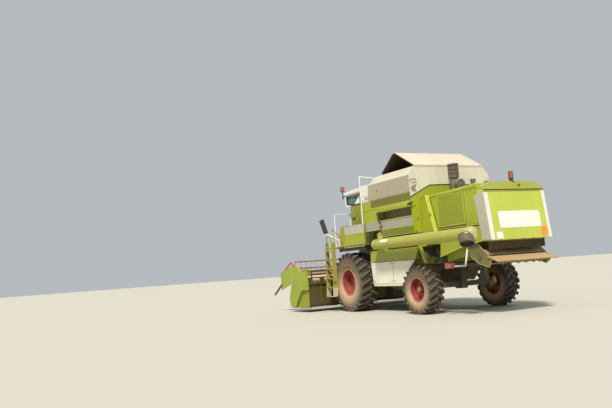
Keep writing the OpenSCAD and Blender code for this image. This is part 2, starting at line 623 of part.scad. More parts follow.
// Tail lamps on bent tubes under the rear housing
module lamps() color([0.6, 0.1, 0.1]) machine() both() {
    w = rear_w / 2;
    slab_y([[-5040, low_z(-5040)], [-4960, low_z(-4960)], [-4960, 1680], [-5040, 1680]], w - 120, w - 20);
    bar([-5000, w - 70, 1690], [-5000, w + 62, 1205], 22);
    bar([-5000, w + 50, 1212], [-5000, w + 440, 1216], 22);
    block([-5040, w + 430, 1170], [-4975, w + 680, 1308]);
}
// Ribbed pre-cleaner on its pipe, air filter drum and exhaust
module intake_exhaust() color(dark) machine() {
    translate([-3800, 165, 3140]) {
        cylinder(h = 480, r = 110);
        translate([0, 0, 460]) cylinder(h = 400, r = 178);
        for (k = [0 : 5]) translate([0, 0, 480 + k * 64]) cylinder(h = 32, r = 194);
    }
    bar([-3880, 110, 3410], [-4010, 110, 3410], 142);
    translate([-3800, -500, 3140]) cylinder(h = 420, r = 70);
}
module radiator_screen() color(dark) machine() block([-4620, -rear_w / 2 - 60, 2300],
    [-3980, -rear_w / 2, 3050]);

// Swinging side panels
// Shield: sheet folded in along its lower edge, with a seam, hung on a rod in the strip's lugs
module shield() {
    y1 = shield_y + 12;
    difference() {
        intersection() {
            slab_y([[-1010, shield_z], [270 - wheelbase, shield_z], [588 - wheelbase, 1180],
                [930 - wheelbase, 755], [-1075, 755]], y1 - 60, y1 + 10);
            slab_x([[y1 - 24, 840], [y1 - 24, shield_z], [y1, shield_z], [y1, 840], [y1 - 15, 755],
                [y1 - 39, 755]], -3300, -1000);
        }
        for (x = shield_lugs) block([x - 20, y1 - 40, shield_z - 28], [x + 20, y1 + 10, shield_z + 1]);
        block([-2145, y1 - 4, 700], [-2137, y1 + 1, 1500]);
    }
    bar([300 - wheelbase, shield_y, shield_z], [-1020, shield_y, shield_z], 8);
}
module shield_left() color(grey) machine() shield();
module shield_right() color(grey) machine() mirror([0, 1, 0]) shield();
// Engine doors on upright rods in lugs at their rear edges
module side_door(x1) {
    y0 = rear_w / 2 + play;
    difference() {
        block([-5130, y0, 2240], [x1, y0 + 24, 3070]);
        for (z = bay_lugs) block([-5140, y0 - 1, z - 4], [-5100, y0 + 25, z + 34]);
    }
    translate([-5134, y0 + 12, 2260]) cylinder(h = 790, r = 8);
}
bay_lugs = [2320, 2960];
module side_door_left() color(lime) machine() side_door(-4060);
module side_door_right() color(lime) machine() mirror([0, 1, 0]) side_door(-4640);

// Unloading auger folded back along the left side: pivot pot, elbow and tube
module unloading_auger() color(lime) machine() {
    bend = tube_y - swing_y - 150;
    translate([swing_x, swing_y, 1801]) rotate_extrude() polygon([[0, 0], [165, 0], [165, 450],
        [110, 549], [0, 549]]);
    bar_y(swing_x, tube_z, swing_y, swing_y + 150, tube_r);
    translate([swing_x - bend, swing_y + 150, tube_z]) rotate_extrude(angle = 90) translate([bend,
        0]) circle(tube_r);
    bar([swing_x - bend, tube_y, tube_z], [-5890, tube_y, tube_z], tube_r);
    // Domed end over the spout
    translate([-5890, tube_y, tube_z]) rotate([0, -90, 0]) rotate_extrude()
        polygon([[0, 0], [tube_r, 0], [tube_r - 10, 62], [tube_r - 44, 110], [tube_r - 92, 138], [0, 144]]);
}
// Round sleeve that turns the grain down
module auger_spout() color(dark) machine() difference() {
    translate([-5790, tube_y, 1655]) cylinder(h = 335, r = 178);
    translate([-5790, tube_y, 1650]) cylinder(h = 180, r = 166);
    bar([-5500, tube_y, tube_z], [-6100, tube_y, tube_z], tube_r + gap);
}

// Header and feeder

// Feeder: closed channel with an open front, pins at its pivot and lugs for the lift rams
module feeder_house() color(lime) machine() {
    difference() {
        slab_y([[560, 1500], [500, 1060], [1400, 250], [1400, 850], [700, 1500]], -600, 600);
        slab_y([[900, 800], [900, 1180], [1401, 760], [1401, 320]], -560, 560);
    }
    both() {
        bar_y(feeder_pin[0], feeder_pin[1], 600, 634, 30);
        for (y = [lift_y - 62, lift_y + 36]) slab_y([[790, 830], [1010, 620],
            [lift_eye[0] + 40, lift_eye[1] - 35], [lift_eye[0] - 30, lift_eye[1] - 40]], y, y + 26);
        bar_y(lift_eye[0], lift_eye[1], lift_y - 62, lift_y + 62, 20);
    }
}
// Header: trough with back wall, end sheets, rear beam and top tube
module header_frame() color(lime) machine() {
    hw = cut_w / 2;
    difference() {
        slab_y([[1400, 1140], [1400, 250], [1560, 160], [knife_x - 20, 160], [knife_x - 20, 176],
            [2150, 200], [1600, 200], [1440, 300], [1440, 1140]], -hw, hw);
        block([1390, -550, 330], [1450, 550, 840]);
        for (k = [0 : 9]) block([1390, -hw + 100 + k * (cut_w - 100) / 10, 1000],
            [1450, -hw + 370 + k * (cut_w - 100) / 10, 1095]);
    }
    both() slab_y([[1400, 1160], [1400, 200], [1560, 140], [knife_x + 40, 140], [knife_x + 40, 420],
        [2200, 900], [1700, 1160]], hw, hw + 20);
    block([1345, -hw, 905], [1400, hw, 985]);
    bar_y(1400, 1335, -hw, hw, 35);
    for (y = [-hw + 20, -1100, 1060, hw - 160]) block([1385, y, 1140], [1415, y + 40, 1320]);
    both() bar_y(reel_base[0], reel_base[1], reel_ram_y - 24, hw, 12);
}
module knife_bar() color(steel) machine() {
    hw = cut_w / 2;
    block([knife_x - 20, -hw, 162], [knife_x + 40, hw, 186]);
    for (y = [-hw + 40 : 76.2 * 2 : hw - 40]) translate([knife_x + 40, y,
        164]) linear_extrude(18) polygon([[-2, -16], [110, -2], [110, 2], [-2, 16]]);
}
// Dividers: rear sheet, front wedge turned in a little, and a round rod with its point
module dividers() color(lime) machine() both() {
    hw = header_w / 2;
    slab_y([[1345, 1330], [1790, 1345], [2050, 1550], [2330, 1500], [2470, 950], [2700, 430], [2660, 180],
        [2270, 180], [1735, 725], [1345, 740]],
        hw - divider_w, hw);
    translate([2300, hw, 0]) rotate([0, 0, -3]) translate([-2300, -hw, 0])
        slab_y([[2312, 1555], [3030, 1450], [3454, 1334], [3450, 740], [2514, 951],
            [2455, 951]], hw - 26, hw - 2);
    translate([front_reach, hw - 62, 548]) rotate([0, -61.5, 0]) {
        cylinder(h = 110, r1 = 0, r2 = 36);
        translate([0, 0, 110]) cylinder(h = 740, r = 36);
    }
}
// Rams that raise the reel
reel_x = 2560;
reel_z = 1240;
reel_base = [1470, 1010];
reel_eye = [1820, 1290];
reel_ram_y = 2214;
reel_pin = [1400, 1335];
reel_l = norm(reel_eye - reel_base);
module reel_barrels() color(steel) machine() both() ram_at(reel_base, reel_eye,
    reel_ram_y) ram_barrel(reel_l - 100, 22, 13, 26, 12);
module reel_rods() color(steel) machine() both() ram_at(reel_base, reel_eye, reel_ram_y) ram_rod(120,
    reel_l, 13, 30, 12);
module reel_arms() color(lime) machine() both() {
    difference() {
        slab_y([[1350, 1290], [1350, 1400], [1700, 1420], [reel_x + 60, reel_z + 60],
            [reel_x + 60, reel_z - 60], [reel_x - 60, reel_z - 60],
            [1820, 1250], [1700, 1310]], cut_w / 2 - 90, cut_w / 2 - 66);
        bar_y(reel_pin[0], reel_pin[1], 0, 3000, 35 + gap);
        bar_y(reel_x, reel_z, 0, 3000, 30 + gap);
    }
    bar_y(reel_eye[0], reel_eye[1], cut_w / 2 - 66, reel_ram_y + 20, 12);
}
module reel() color([0.40, 0.12, 0.10]) machine() translate([reel_x, 0, reel_z]) {
    hw = cut_w / 2 - 100;
    bar_y(0, 0, -hw - 36, hw + 36, 30);
    bar_y(0, 0, -hw, hw, 60);
    for (i = [0 : bats - 1]) rotate([0, i * 360 / bats, 0]) translate([0, 0, reel_r]) {
        bar_y(0, 0, -hw, hw, 22);
        rotate([0, -i * 360 / bats, 0]) for (y = [-hw + 60 : 200 : hw - 60]) translate([0, y,
            -tine_l]) cylinder(h = tine_l, r = 5);
    }
    for (y = [-hw, -hw / 3, hw / 3, hw - 12], i = [0 : bats - 1]) rotate([0, i * 360 / bats,
        0]) block([-22, y, 40], [22, y + 12, reel_r]);
}
aug_x = 1850;
aug_z = 520;
module header_auger() color(grey) machine() translate([aug_x, 0, aug_z]) {
    hw = cut_w / 2 - 20;
    bar_y(0, 0, -hw, hw, 190);
    for (s = [-1, 1]) translate([0, s * hw, 0]) rotate([90, 0, 0]) mirror([0, 0,
        s > 0 ? 0 : 1]) translate([0, 0, 0])
        linear_extrude(hw - 500, twist = -360 * (hw - 500) / 560, slices = 44,
            segments = 4) translate([185, -15]) square([auger_r - 185, 30]);
    for (k = [0 : 9]) rotate([0, k * 36 * 3, 0]) translate([0, -450 + k * 100, 0]) cylinder(h = auger_r,
        r = 8);
}

chassis_frame();
front_axle();
rear_axle();
steering_rod();
threshing_body();
rear_body();
rear_hood();
chopper_housing();
chopper_rotor();
deflector();
engine_block();
grain_tank();
tank_panels();
filling_auger();
cover_front();
cover_rear();
cab_frame();
cab_roof();
cab_glass();
cab_door();
door_glass();
seat();
steering_column();
platform();
ladder();
railings();
mirrors();
beacons();
lamps();
intake_exhaust();
radiator_screen();
lift_barrels();
lift_rods();
tow_hitch();
knuckle_left();
knuckle_right();
tyre_front_left();
tyre_front_right();
tyre_rear_left();
tyre_rear_right();
rim_front_left();
rim_front_right();
rim_rear_left();
rim_rear_right();
feeder_house();
header_frame();
knife_bar();
dividers();
reel_barrels();
reel_rods();
header_auger();
reel_arms();
reel();
unloading_auger();
auger_spout();
shield_left();
shield_right();
side_door_left();
side_door_right();
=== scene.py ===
import math

import bmesh
import bpy
from mathutils import Matrix, Vector


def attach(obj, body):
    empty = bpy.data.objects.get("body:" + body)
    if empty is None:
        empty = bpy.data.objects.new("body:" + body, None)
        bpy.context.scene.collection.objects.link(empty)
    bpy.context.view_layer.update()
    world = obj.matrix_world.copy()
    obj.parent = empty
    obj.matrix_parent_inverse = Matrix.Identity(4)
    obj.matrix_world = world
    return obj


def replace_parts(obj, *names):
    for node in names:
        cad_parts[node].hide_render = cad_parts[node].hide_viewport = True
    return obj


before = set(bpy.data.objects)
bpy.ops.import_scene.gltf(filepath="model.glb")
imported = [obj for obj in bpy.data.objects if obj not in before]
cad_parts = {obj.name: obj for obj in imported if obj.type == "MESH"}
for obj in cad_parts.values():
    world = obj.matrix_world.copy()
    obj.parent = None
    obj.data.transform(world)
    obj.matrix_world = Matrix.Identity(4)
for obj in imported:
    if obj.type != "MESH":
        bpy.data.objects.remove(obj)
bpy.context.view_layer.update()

# Studio: a pale floor under the wheels, an even pale surround and one broad lamp high behind the machine's left.
# The camera stands behind the left rear wheel at eye height and is held slightly askew.
SURROUND_COLOUR, SURROUND_LIGHT = (0.70, 0.75, 0.78, 1), 0.66
LAMP_COLOUR, LAMP_LIGHT, LAMP_SPREAD, LAMP_FROM = (1.0, 0.95, 0.86), 4.2, 0.16, (-0.51, 0.42, 0.75)
CAMERA_AT = (-16.909, 11.927, 1.387)
CAMERA_YAW, CAMERA_PITCH, CAMERA_ROLL = (math.radians(a) for a in (-26.931, 5.729, -4.135))
SENSOR_WIDTH, FOCAL_LENGTH, SEES_TO = 36, 36 * 656.376 / 612, 400
FLOOR_RADIUS = 160
studio = bpy.context.scene
studio.view_settings.view_transform = "Standard"
surround = bpy.data.worlds.new("pale_surround")
surround.use_nodes = True
surround.node_tree.nodes["Background"].inputs["Color"].default_value = SURROUND_COLOUR
surround.node_tree.nodes["Background"].inputs["Strength"].default_value = SURROUND_LIGHT
studio.world = surround

lamp = bpy.data.lights.new("broad_lamp", "SUN")
lamp.energy = LAMP_LIGHT
lamp.angle = LAMP_SPREAD
lamp.color = LAMP_COLOUR
lamp_stand = bpy.data.objects.new("broad_lamp", lamp)
studio.collection.objects.link(lamp_stand)
lamp_stand.rotation_mode = "QUATERNION"
lamp_stand.rotation_quaternion = Vector(LAMP_FROM).to_track_quat("Z", "Y")

camera = bpy.data.objects.new("camera", bpy.data.cameras.new("camera"))
studio.collection.objects.link(camera)
ahead = Vector((math.cos(CAMERA_PITCH) * math.cos(CAMERA_YAW), math.cos(CAMERA_PITCH) * math.sin(CAMERA_YAW),
                math.sin(CAMERA_PITCH)))
level = Vector((math.sin(CAMERA_YAW), -math.cos(CAMERA_YAW), 0))
upright = level.cross(ahead)
rightward = math.cos(CAMERA_ROLL) * level + math.sin(CAMERA_ROLL) * upright
upward = math.cos(CAMERA_ROLL) * upright - math.sin(CAMERA_ROLL) * level
camera.matrix_world = Matrix.Translation(CAMERA_AT) @ Matrix((rightward, upward, -ahead)).transposed().to_4x4()
camera.data.sensor_width = SENSOR_WIDTH
camera.data.lens = FOCAL_LENGTH
camera.data.clip_end = SEES_TO
studio.camera = camera


def add_node(tree, kind, inputs=(), **settings):
    """One node in a tree; inputs are pairs of a socket and a number, a colour or another node's output."""
    made = tree.nodes.new(kind)
    for key, value in settings.items():
        setattr(made, key, value)
    for socket, value in inputs:
        if isinstance(value, bpy.types.NodeSocket):
            tree.links.new(value, made.inputs[socket])
        else:
            made.inputs[socket].default_value = value
    return made


def blend_colours(tree, share, first, second):
    return add_node(tree, "ShaderNodeMix", [("Factor", share), ("A", first), ("B", second)],
                    data_type="RGBA").outputs["Result"]


def new_finish(name, slot):
    """An empty material with its shader and output; returns material, tree and shader."""
    finish = bpy.data.materials.new(name)
    finish.use_nodes = True
    finish["slot"] = slot
    finish.node_tree.nodes.clear()
    shader = finish.node_tree.nodes.new("ShaderNodeBsdfPrincipled")
    end = finish.node_tree.nodes.new("ShaderNodeOutputMaterial")
    finish.node_tree.links.new(shader.outputs[0], end.inputs["Surface"])
    return finish, finish.node_tree, shader


def tint(red, green, blue):
    """A colour as mixed on a screen, 0 to 255, as linear light, by the sRGB curve."""
    return tuple(c / 3294.6 if c <= 10 else ((c / 255 + 0.055) / 1.055) ** 2.4 for c in (red, green, blue)) + (1,)


floor_finish, tree, shader = new_finish("pale_floor", "")
spots = add_node(tree, "ShaderNodeTexNoise", [("Scale", 0.8), ("Detail", 4.0)]).outputs["Fac"]
tree.links.new(blend_colours(tree, spots, tint(190, 186, 172), tint(202, 198, 186)), shader.inputs["Base Color"])
shader.inputs["Roughness"].default_value = 0.9
bm = bmesh.new()
bmesh.ops.create_circle(bm, cap_ends=True, segments=96, radius=FLOOR_RADIUS)
mesh = bpy.data.meshes.new("floor")
bm.to_mesh(mesh)
bm.free()
mesh.materials.append(floor_finish)
floor = bpy.data.objects.new("floor", mesh)
studio.collection.objects.link(floor)

# Chassis, axles and hitch: welded rails and castings in a dark coat, dusted by the harvest and chipped to rusty
# steel. Dust lies on what faces up and near the ground; rain has drawn faint streaks down the sides.
STRAW_DUST, RUSTY_STEEL = (164, 148, 116), (96, 72, 52)


def new_group(name, inputs, outputs):
    """A shader node group with named sockets; returns the group, its input node and its output node."""
    group = bpy.data.node_groups.new(name, "ShaderNodeTree")
    for label, kind, value in inputs:
        group.interface.new_socket(label, in_out="INPUT", socket_type="NodeSocket" + kind).default_value = value
    for label, kind in outputs:
        group.interface.new_socket(label, in_out="OUTPUT", socket_type="NodeSocket" + kind)
    return group, group.nodes.new("NodeGroupInput"), group.nodes.new("NodeGroupOutput")


def math_node(tree, operation, first, second, use_clamp=False):
    return add_node(tree, "ShaderNodeMath", [(0, first), (1, second)], operation=operation,
                    use_clamp=use_clamp).outputs[0]


def between(tree, value, low, high, to_low=0.0, to_high=1.0):
    """A value stretched from low..high to to_low..to_high and held there."""
    return add_node(tree, "ShaderNodeMapRange", [("Value", value), ("From Min", low), ("From Max", high),
                                                 ("To Min", to_low), ("To Max", to_high)]).outputs[0]


def surface(tree, reading):
    """Where a point lies on its own part ("Object"), or which way its surface faces ("Normal")."""
    return add_node(tree, "ShaderNodeTexCoord").outputs[reading]


def along(tree, vector, axis):
    return add_node(tree, "ShaderNodeSeparateXYZ", [(0, vector)]).outputs[axis]


def noise(tree, where, scale, detail, rough=0.5):
    return add_node(tree, "ShaderNodeTexNoise", [("Vector", where), ("Scale", scale), ("Detail", detail),
                                                 ("Roughness", rough)]).outputs["Fac"]


field_dust, given, result = new_group("Field dust", [("Settled", "Float", 0.6), ("Splashed", "Float", 0.6),
                                                     ("Film", "Float", 0.15)], [("Dust", "Float")])
where = surface(field_dust, "Object")
facing_up = between(field_dust, along(field_dust, surface(field_dust, "Normal"), "Z"), 0.35, 1.0)
near_ground = between(field_dust, along(field_dust, where, "Z"), 2.1, 0.2)
top = math_node(field_dust, "MULTIPLY", facing_up, given.outputs["Settled"])
low = math_node(field_dust, "MULTIPLY", near_ground, given.outputs["Splashed"])
total = math_node(field_dust, "ADD", math_node(field_dust, "ADD", top, low), given.outputs["Film"])
patchy = math_node(field_dust, "MULTIPLY", noise(field_dust, where, 1.7, 5.0, 0.62),
                   noise(field_dust, where, 21.0, 6.0, 0.7))
patchy = between(field_dust, patchy, 0.10, 0.40, 0.25, 1.35)
field_dust.links.new(math_node(field_dust, "MULTIPLY", total, patchy, True), result.inputs["Dust"])

chipped_edges, given, result = new_group("Chipped edges", [("Reach", "Float", 0.006), ("Amount", "Float", 0.6)],
                                         [("Wear", "Float")])
rounded = add_node(chipped_edges, "ShaderNodeBevel", [("Radius", given.outputs["Reach"])], samples=4)
flat = add_node(chipped_edges, "ShaderNodeNewGeometry")
alike = add_node(chipped_edges, "ShaderNodeVectorMath", [(0, rounded.outputs[0]), (1, flat.outputs["Normal"])],
                 operation="DOT_PRODUCT").outputs["Value"]
chips = between(chipped_edges, noise(chipped_edges, surface(chipped_edges, "Object"), 26.0, 5.0, 0.7), 0.42, 0.60)
worn = math_node(chipped_edges, "MULTIPLY", between(chipped_edges, alike, 0.995, 0.90), chips)
chipped_edges.links.new(math_node(chipped_edges, "MULTIPLY", worn, given.outputs["Amount"], True),
                        result.inputs["Wear"])

sun_fade, given, result = new_group("Sun fade", [("Paint", "Color", (1, 1, 1, 1)),
                                                 ("Faded", "Color", (1, 1, 1, 1)),
                                                 ("Streaks", "Float", 0.3)], [("Paint", "Color")])
where = surface(sun_fade, "Object")
clouds = between(sun_fade, noise(sun_fade, where, 0.9, 4.0), 0.35, 0.68)
drawn = add_node(sun_fade, "ShaderNodeMapping", [("Vector", where), ("Scale", (9.0, 9.0, 0.55))]).outputs[0]
rain = between(sun_fade, noise(sun_fade, drawn, 1.6, 4.0, 0.6), 0.45, 0.75)
rain = math_node(sun_fade, "MULTIPLY", rain, given.outputs["Streaks"])
both = math_node(sun_fade, "ADD", math_node(sun_fade, "MULTIPLY", clouds, 0.55), rain, True)
sun_fade.links.new(blend_colours(sun_fade, both, given.outputs["Paint"], given.outputs["Faded"]),
                   result.inputs["Paint"])

sheet_ripple, given, result = new_group("Sheet ripple", [("Wave", "Float", 1.0), ("Grain", "Float", 0.3)],
                                        [("Height", "Float")])
where = surface(sheet_ripple, "Object")
wave = math_node(sheet_ripple, "MULTIPLY", noise(sheet_ripple, where, 2.4, 1.0), given.outputs["Wave"])
grain = math_node(sheet_ripple, "MULTIPLY", noise(sheet_ripple, where, 130.0, 3.0), given.outputs["Grain"])
sheet_ripple.links.new(math_node(sheet_ripple, "ADD", wave, grain), result.inputs["Height"])

painted_band, given, result = new_group("Painted band", [("From", "Float", 0.0), ("To", "Float", 1.0)],
                                        [("Mask", "Float")])
height = along(painted_band, surface(painted_band, "Object"), "Z")
above = math_node(painted_band, "GREATER_THAN", height, given.outputs["From"])
below = math_node(painted_band, "LESS_THAN", height, given.outputs["To"])
painted_band.links.new(math_node(painted_band, "MULTIPLY", above, below), result.inputs["Mask"])


def use_group(tree, group, **inputs):
    """A group's node in a tree, with its inputs by their names."""
    named = [(key.capitalize(), value) for key, value in inputs.items()]
    return add_node(tree, "ShaderNodeGroup", named, node_tree=group)


def add_dust(tree, settled, splashed, film):
    return use_group(tree, field_dust, settled=settled, splashed=splashed, film=film).outputs[0]


def set_look(tree, shader, colour, roughness, height=None, strength=0.0, depth=0.0):
    """Gives a shader its colour and roughness and, if a height is given, a relief depth m deep."""
    tree.links.new(colour, shader.inputs["Base Color"])
    tree.links.new(roughness, shader.inputs["Roughness"])
    if height:
        relief = add_node(tree, "ShaderNodeBump", [("Height", height), ("Strength", strength), ("Distance", depth)])
        tree.links.new(relief.outputs[0], shader.inputs["Normal"])


def band(low, high, paint, faded):
    """A layer of other paint between two heights in m."""
    return painted_band, {"from": low, "to": high}, paint, faded


def coat(name, slot, paint, faded, under, parts="", settled=0.55, splashed=0.5, film=0.10, chips=0.7, gloss=0.42,
         metal=0.0, streaks=0.3, wave=1.0, reach=0.006, dust=STRAW_DUST, layers=()):
    """A coat of paint: faded in patches, chipped down to what is under it at edges, then dusted. Parts are the
    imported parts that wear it; layers are masked areas of other paint: group, its inputs, paint, faded paint."""
    finish, tree, shader = new_finish(name, slot)
    paint, faded, under, dust = (tint(*colour) for colour in (paint, faded, under, dust))
    for mask, inputs, layer_paint, layer_faded in layers:
        share = use_group(tree, mask, **inputs).outputs[0]
        paint = blend_colours(tree, share, paint, tint(*layer_paint))
        faded = blend_colours(tree, share, faded, tint(*layer_faded))
    fade = use_group(tree, sun_fade, paint=paint, faded=faded, streaks=streaks)
    wear = use_group(tree, chipped_edges, reach=reach, amount=chips)
    dirt = add_dust(tree, settled, splashed, film)
    bare = blend_colours(tree, wear.outputs[0], fade.outputs[0], under)
    ripple = use_group(tree, sheet_ripple, wave=wave, grain=0.08)
    set_look(tree, shader, blend_colours(tree, dirt, bare, dust), between(tree, dirt, 0.0, 1.0, gloss, 0.92),
             ripple.outputs[0], 0.25, 0.03)
    shader.inputs["Metallic"].default_value = metal
    finish_parts(finish, parts)
    return finish


def finish_parts(finish, names):
    """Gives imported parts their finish."""
    for name in names.split():
        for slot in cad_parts[name].material_slots:
            slot.material = finish


dark = coat("dark_coat", "chassis_dark", (32, 30, 28), (50, 46, 40), RUSTY_STEEL,
            "chassis_frame front_axle rear_axle engine_block tow_hitch", settled=0.75, splashed=0.30, gloss=0.6)
steel = coat("worn_steel", "bare_steel", (120, 116, 110), (140, 132, 120), (178, 172, 164),
             "filling_auger steering_rod knife_bar chopper_rotor lift_barrels lift_rods reel_barrels reel_rods",
             settled=0.5, splashed=0.4, gloss=0.35, metal=0.85)
yellow_green = coat("yellow_green_coat", "yellow_green_paint", (172, 168, 40), (190, 186, 84), RUSTY_STEEL,
                    "knuckle_left knuckle_right", film=0.16)

# Tyres: black rubber, deeply lugged, caked with dry soil between the lugs and pale with dust on their walls. The
# lower half of each wall is painted paler as sunlight, the upper half darker as shade. Each material measures from
# its own wheel's middle, so the dirt and the painted light turn with it.
DEEP_RED, DEEP_RED_FADED, BARE_RIM = (128, 22, 32), (146, 44, 46), (90, 70, 60)
MACHINE_TO_FRAME = 0.990  # m in x from the front axle to the middle of the frame
SMOOTH_UP_TO, ROUNDED_FROM = math.radians(35), math.radians(40)
HANDS = (("left", 1), ("right", -1))  # the machine's sides, and which way y grows outward
WHEELS = {  # in mm; the nuts' seat is measured outward from the wheel's middle plane, as are the cap's heights
    "front": {"middle": (0, 1270, 910), "lug_root": 866, "lug_crown": 910, "barrel": 378,
              "nuts": 10, "nut_circle": 195, "nut_seat": -60,
              "cap": [(0, 40), (104, 40), (104, 52), (90, 64), (48, 72), (0, 74)]},
    "rear": {"middle": (-3500, 1305, 650), "lug_root": 618, "lug_crown": 650, "barrel": 298,
             "nuts": 8, "nut_circle": 132, "nut_seat": 16,
             "cap": [(0, 130), (62, 130), (62, 148), (48, 160), (0, 164)]},
}
lug_dirt_and_wall_light, given, result = new_group("Lug dirt and wall light", [("Middle", "Vector", (0, 0, 0)), ("Root", "Float", 0.8),
                                                 ("Crown", "Float", 0.9)],
                                    [("Crown dust", "Float"), ("Wall dust and light", "Float")])
where = surface(lug_dirt_and_wall_light, "Object")
arm = add_node(lug_dirt_and_wall_light, "ShaderNodeVectorMath", [(0, where), (1, given.outputs["Middle"])], operation="SUBTRACT")
arm = add_node(lug_dirt_and_wall_light, "ShaderNodeVectorMath", [(0, arm.outputs[0]), (1, (1, 0, 1))], operation="MULTIPLY")
radius = add_node(lug_dirt_and_wall_light, "ShaderNodeVectorMath", [(0, arm.outputs[0])], operation="LENGTH").outputs["Value"]
crown = between(lug_dirt_and_wall_light, radius, given.outputs["Root"], given.outputs["Crown"])
specks = between(lug_dirt_and_wall_light, noise(lug_dirt_and_wall_light, where, 11.0, 6.0, 0.68), 0.36, 0.64, 0.3, 1.0)
lug_dirt_and_wall_light.links.new(math_node(lug_dirt_and_wall_light, "MULTIPLY", crown, specks), result.inputs["Crown dust"])
side = along(lug_dirt_and_wall_light, surface(lug_dirt_and_wall_light, "Normal"), "Y")
side = add_node(lug_dirt_and_wall_light, "ShaderNodeMath", [(0, side)], operation="ABSOLUTE").outputs[0]
share = math_node(lug_dirt_and_wall_light, "DIVIDE", radius, given.outputs["Root"])
rise = math_node(lug_dirt_and_wall_light, "DIVIDE", along(lug_dirt_and_wall_light, arm.outputs[0], "Z"), given.outputs["Root"])
wall = between(lug_dirt_and_wall_light, side, 0.35, 0.85)
# The last factor paints the wall paler low on the wheel and darker high up: painted sunlight below, shade above.
for less in (between(lug_dirt_and_wall_light, specks, 0.3, 1.0, 0.75, 1.0), between(lug_dirt_and_wall_light, share, 0.62, 0.97, 1.0, 0.15),
             between(lug_dirt_and_wall_light, rise, 0.45, -0.25, 0.35, 1.0)):
    wall = math_node(lug_dirt_and_wall_light, "MULTIPLY", wall, less)
lug_dirt_and_wall_light.links.new(wall, result.inputs["Wall dust and light"])


def place(x, y, z):
    """A point in mm of the machine, whose front axle stands at x 0, as metres of the frame."""
    return Vector((x / 1000 + MACHINE_TO_FRAME, y / 1000, z / 1000))


shapes = bmesh.new()  # what is drawn for the next piece


def new_piece(name, finish, body="machine", bevel=0.0, both=False):
    """Turns the shapes drawn so far into a piece, with both on the machine's other side too: edges rounded by
    bevel mm, smooth where it is round, carried by a body."""
    if both:
        twin = bmesh.ops.duplicate(shapes, geom=shapes.verts[:] + shapes.edges[:] + shapes.faces[:])
        for part in twin["geom"]:
            if isinstance(part, bmesh.types.BMVert):
                part.co.y = -part.co.y
    bmesh.ops.recalc_face_normals(shapes, faces=shapes.faces)
    mesh = bpy.data.meshes.new(name)
    shapes.to_mesh(mesh)
    shapes.clear()
    mesh.shade_smooth()
    mesh.set_sharp_from_angle(angle=SMOOTH_UP_TO)
    mesh.materials.append(finish)
    piece = bpy.data.objects.new(name, mesh)
    studio.collection.objects.link(piece)
    if bevel:
        rounding = piece.modifiers.new("rounded_edges", "BEVEL")
        rounding.width = bevel / 1000
        rounding.segments = 2
        rounding.limit_method = "ANGLE"
        rounding.angle_limit = ROUNDED_FROM
    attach(piece, body)
    return piece


def lathe(middle, axis, profile, sides=28):
    """Turns a profile of radius and height, in mm, round an axis through middle; radius 0 closes an end."""
    axis = Vector(axis).normalized()
    across = axis.orthogonal().normalized()
    other = axis.cross(across)
    rings = []
    for radius, height in profile:
        centre = place(*middle) + axis * height / 1000
        turns = [math.tau * k / sides for k in range(sides)] if radius else [0]
        rings.append([shapes.verts.new(centre + (across * math.cos(t) + other * math.sin(t)) * radius / 1000)
                      for t in turns])
    if profile[0][0] and profile[-1][0]:
        rings.append(rings[0])
    for near, far in zip(rings, rings[1:]):
        for k in range(sides):
            corners = [near[k % len(near)], near[(k + 1) % len(near)], far[(k + 1) % len(far)], far[k % len(far)]]
            corners = [v for i, v in enumerate(corners) if v not in corners[:i]]
            if len(corners) > 2:
                shapes.faces.new(corners)


def collar(inner, outer, height):
    """The profile of a plain ring, or of a disc if inner is 0."""
    return [(inner, 0), (outer, 0), (outer, height), (inner, height)]


def bolt_heads(spots, axis, across=24):
    """Hexagon heads on washers at each spot, facing along axis."""
    washer_r, washer_h, head_r, head_h = across * 0.66, across * 0.12, across * 0.54, across * 0.74
    for spot in spots:
        lathe(spot, axis, collar(0, washer_r, washer_h), 12)
        lathe(spot, axis, [(0, washer_h), (head_r, washer_h), (head_r, across * 0.62), (across * 0.42, head_h),
                           (0, head_h)], 6)


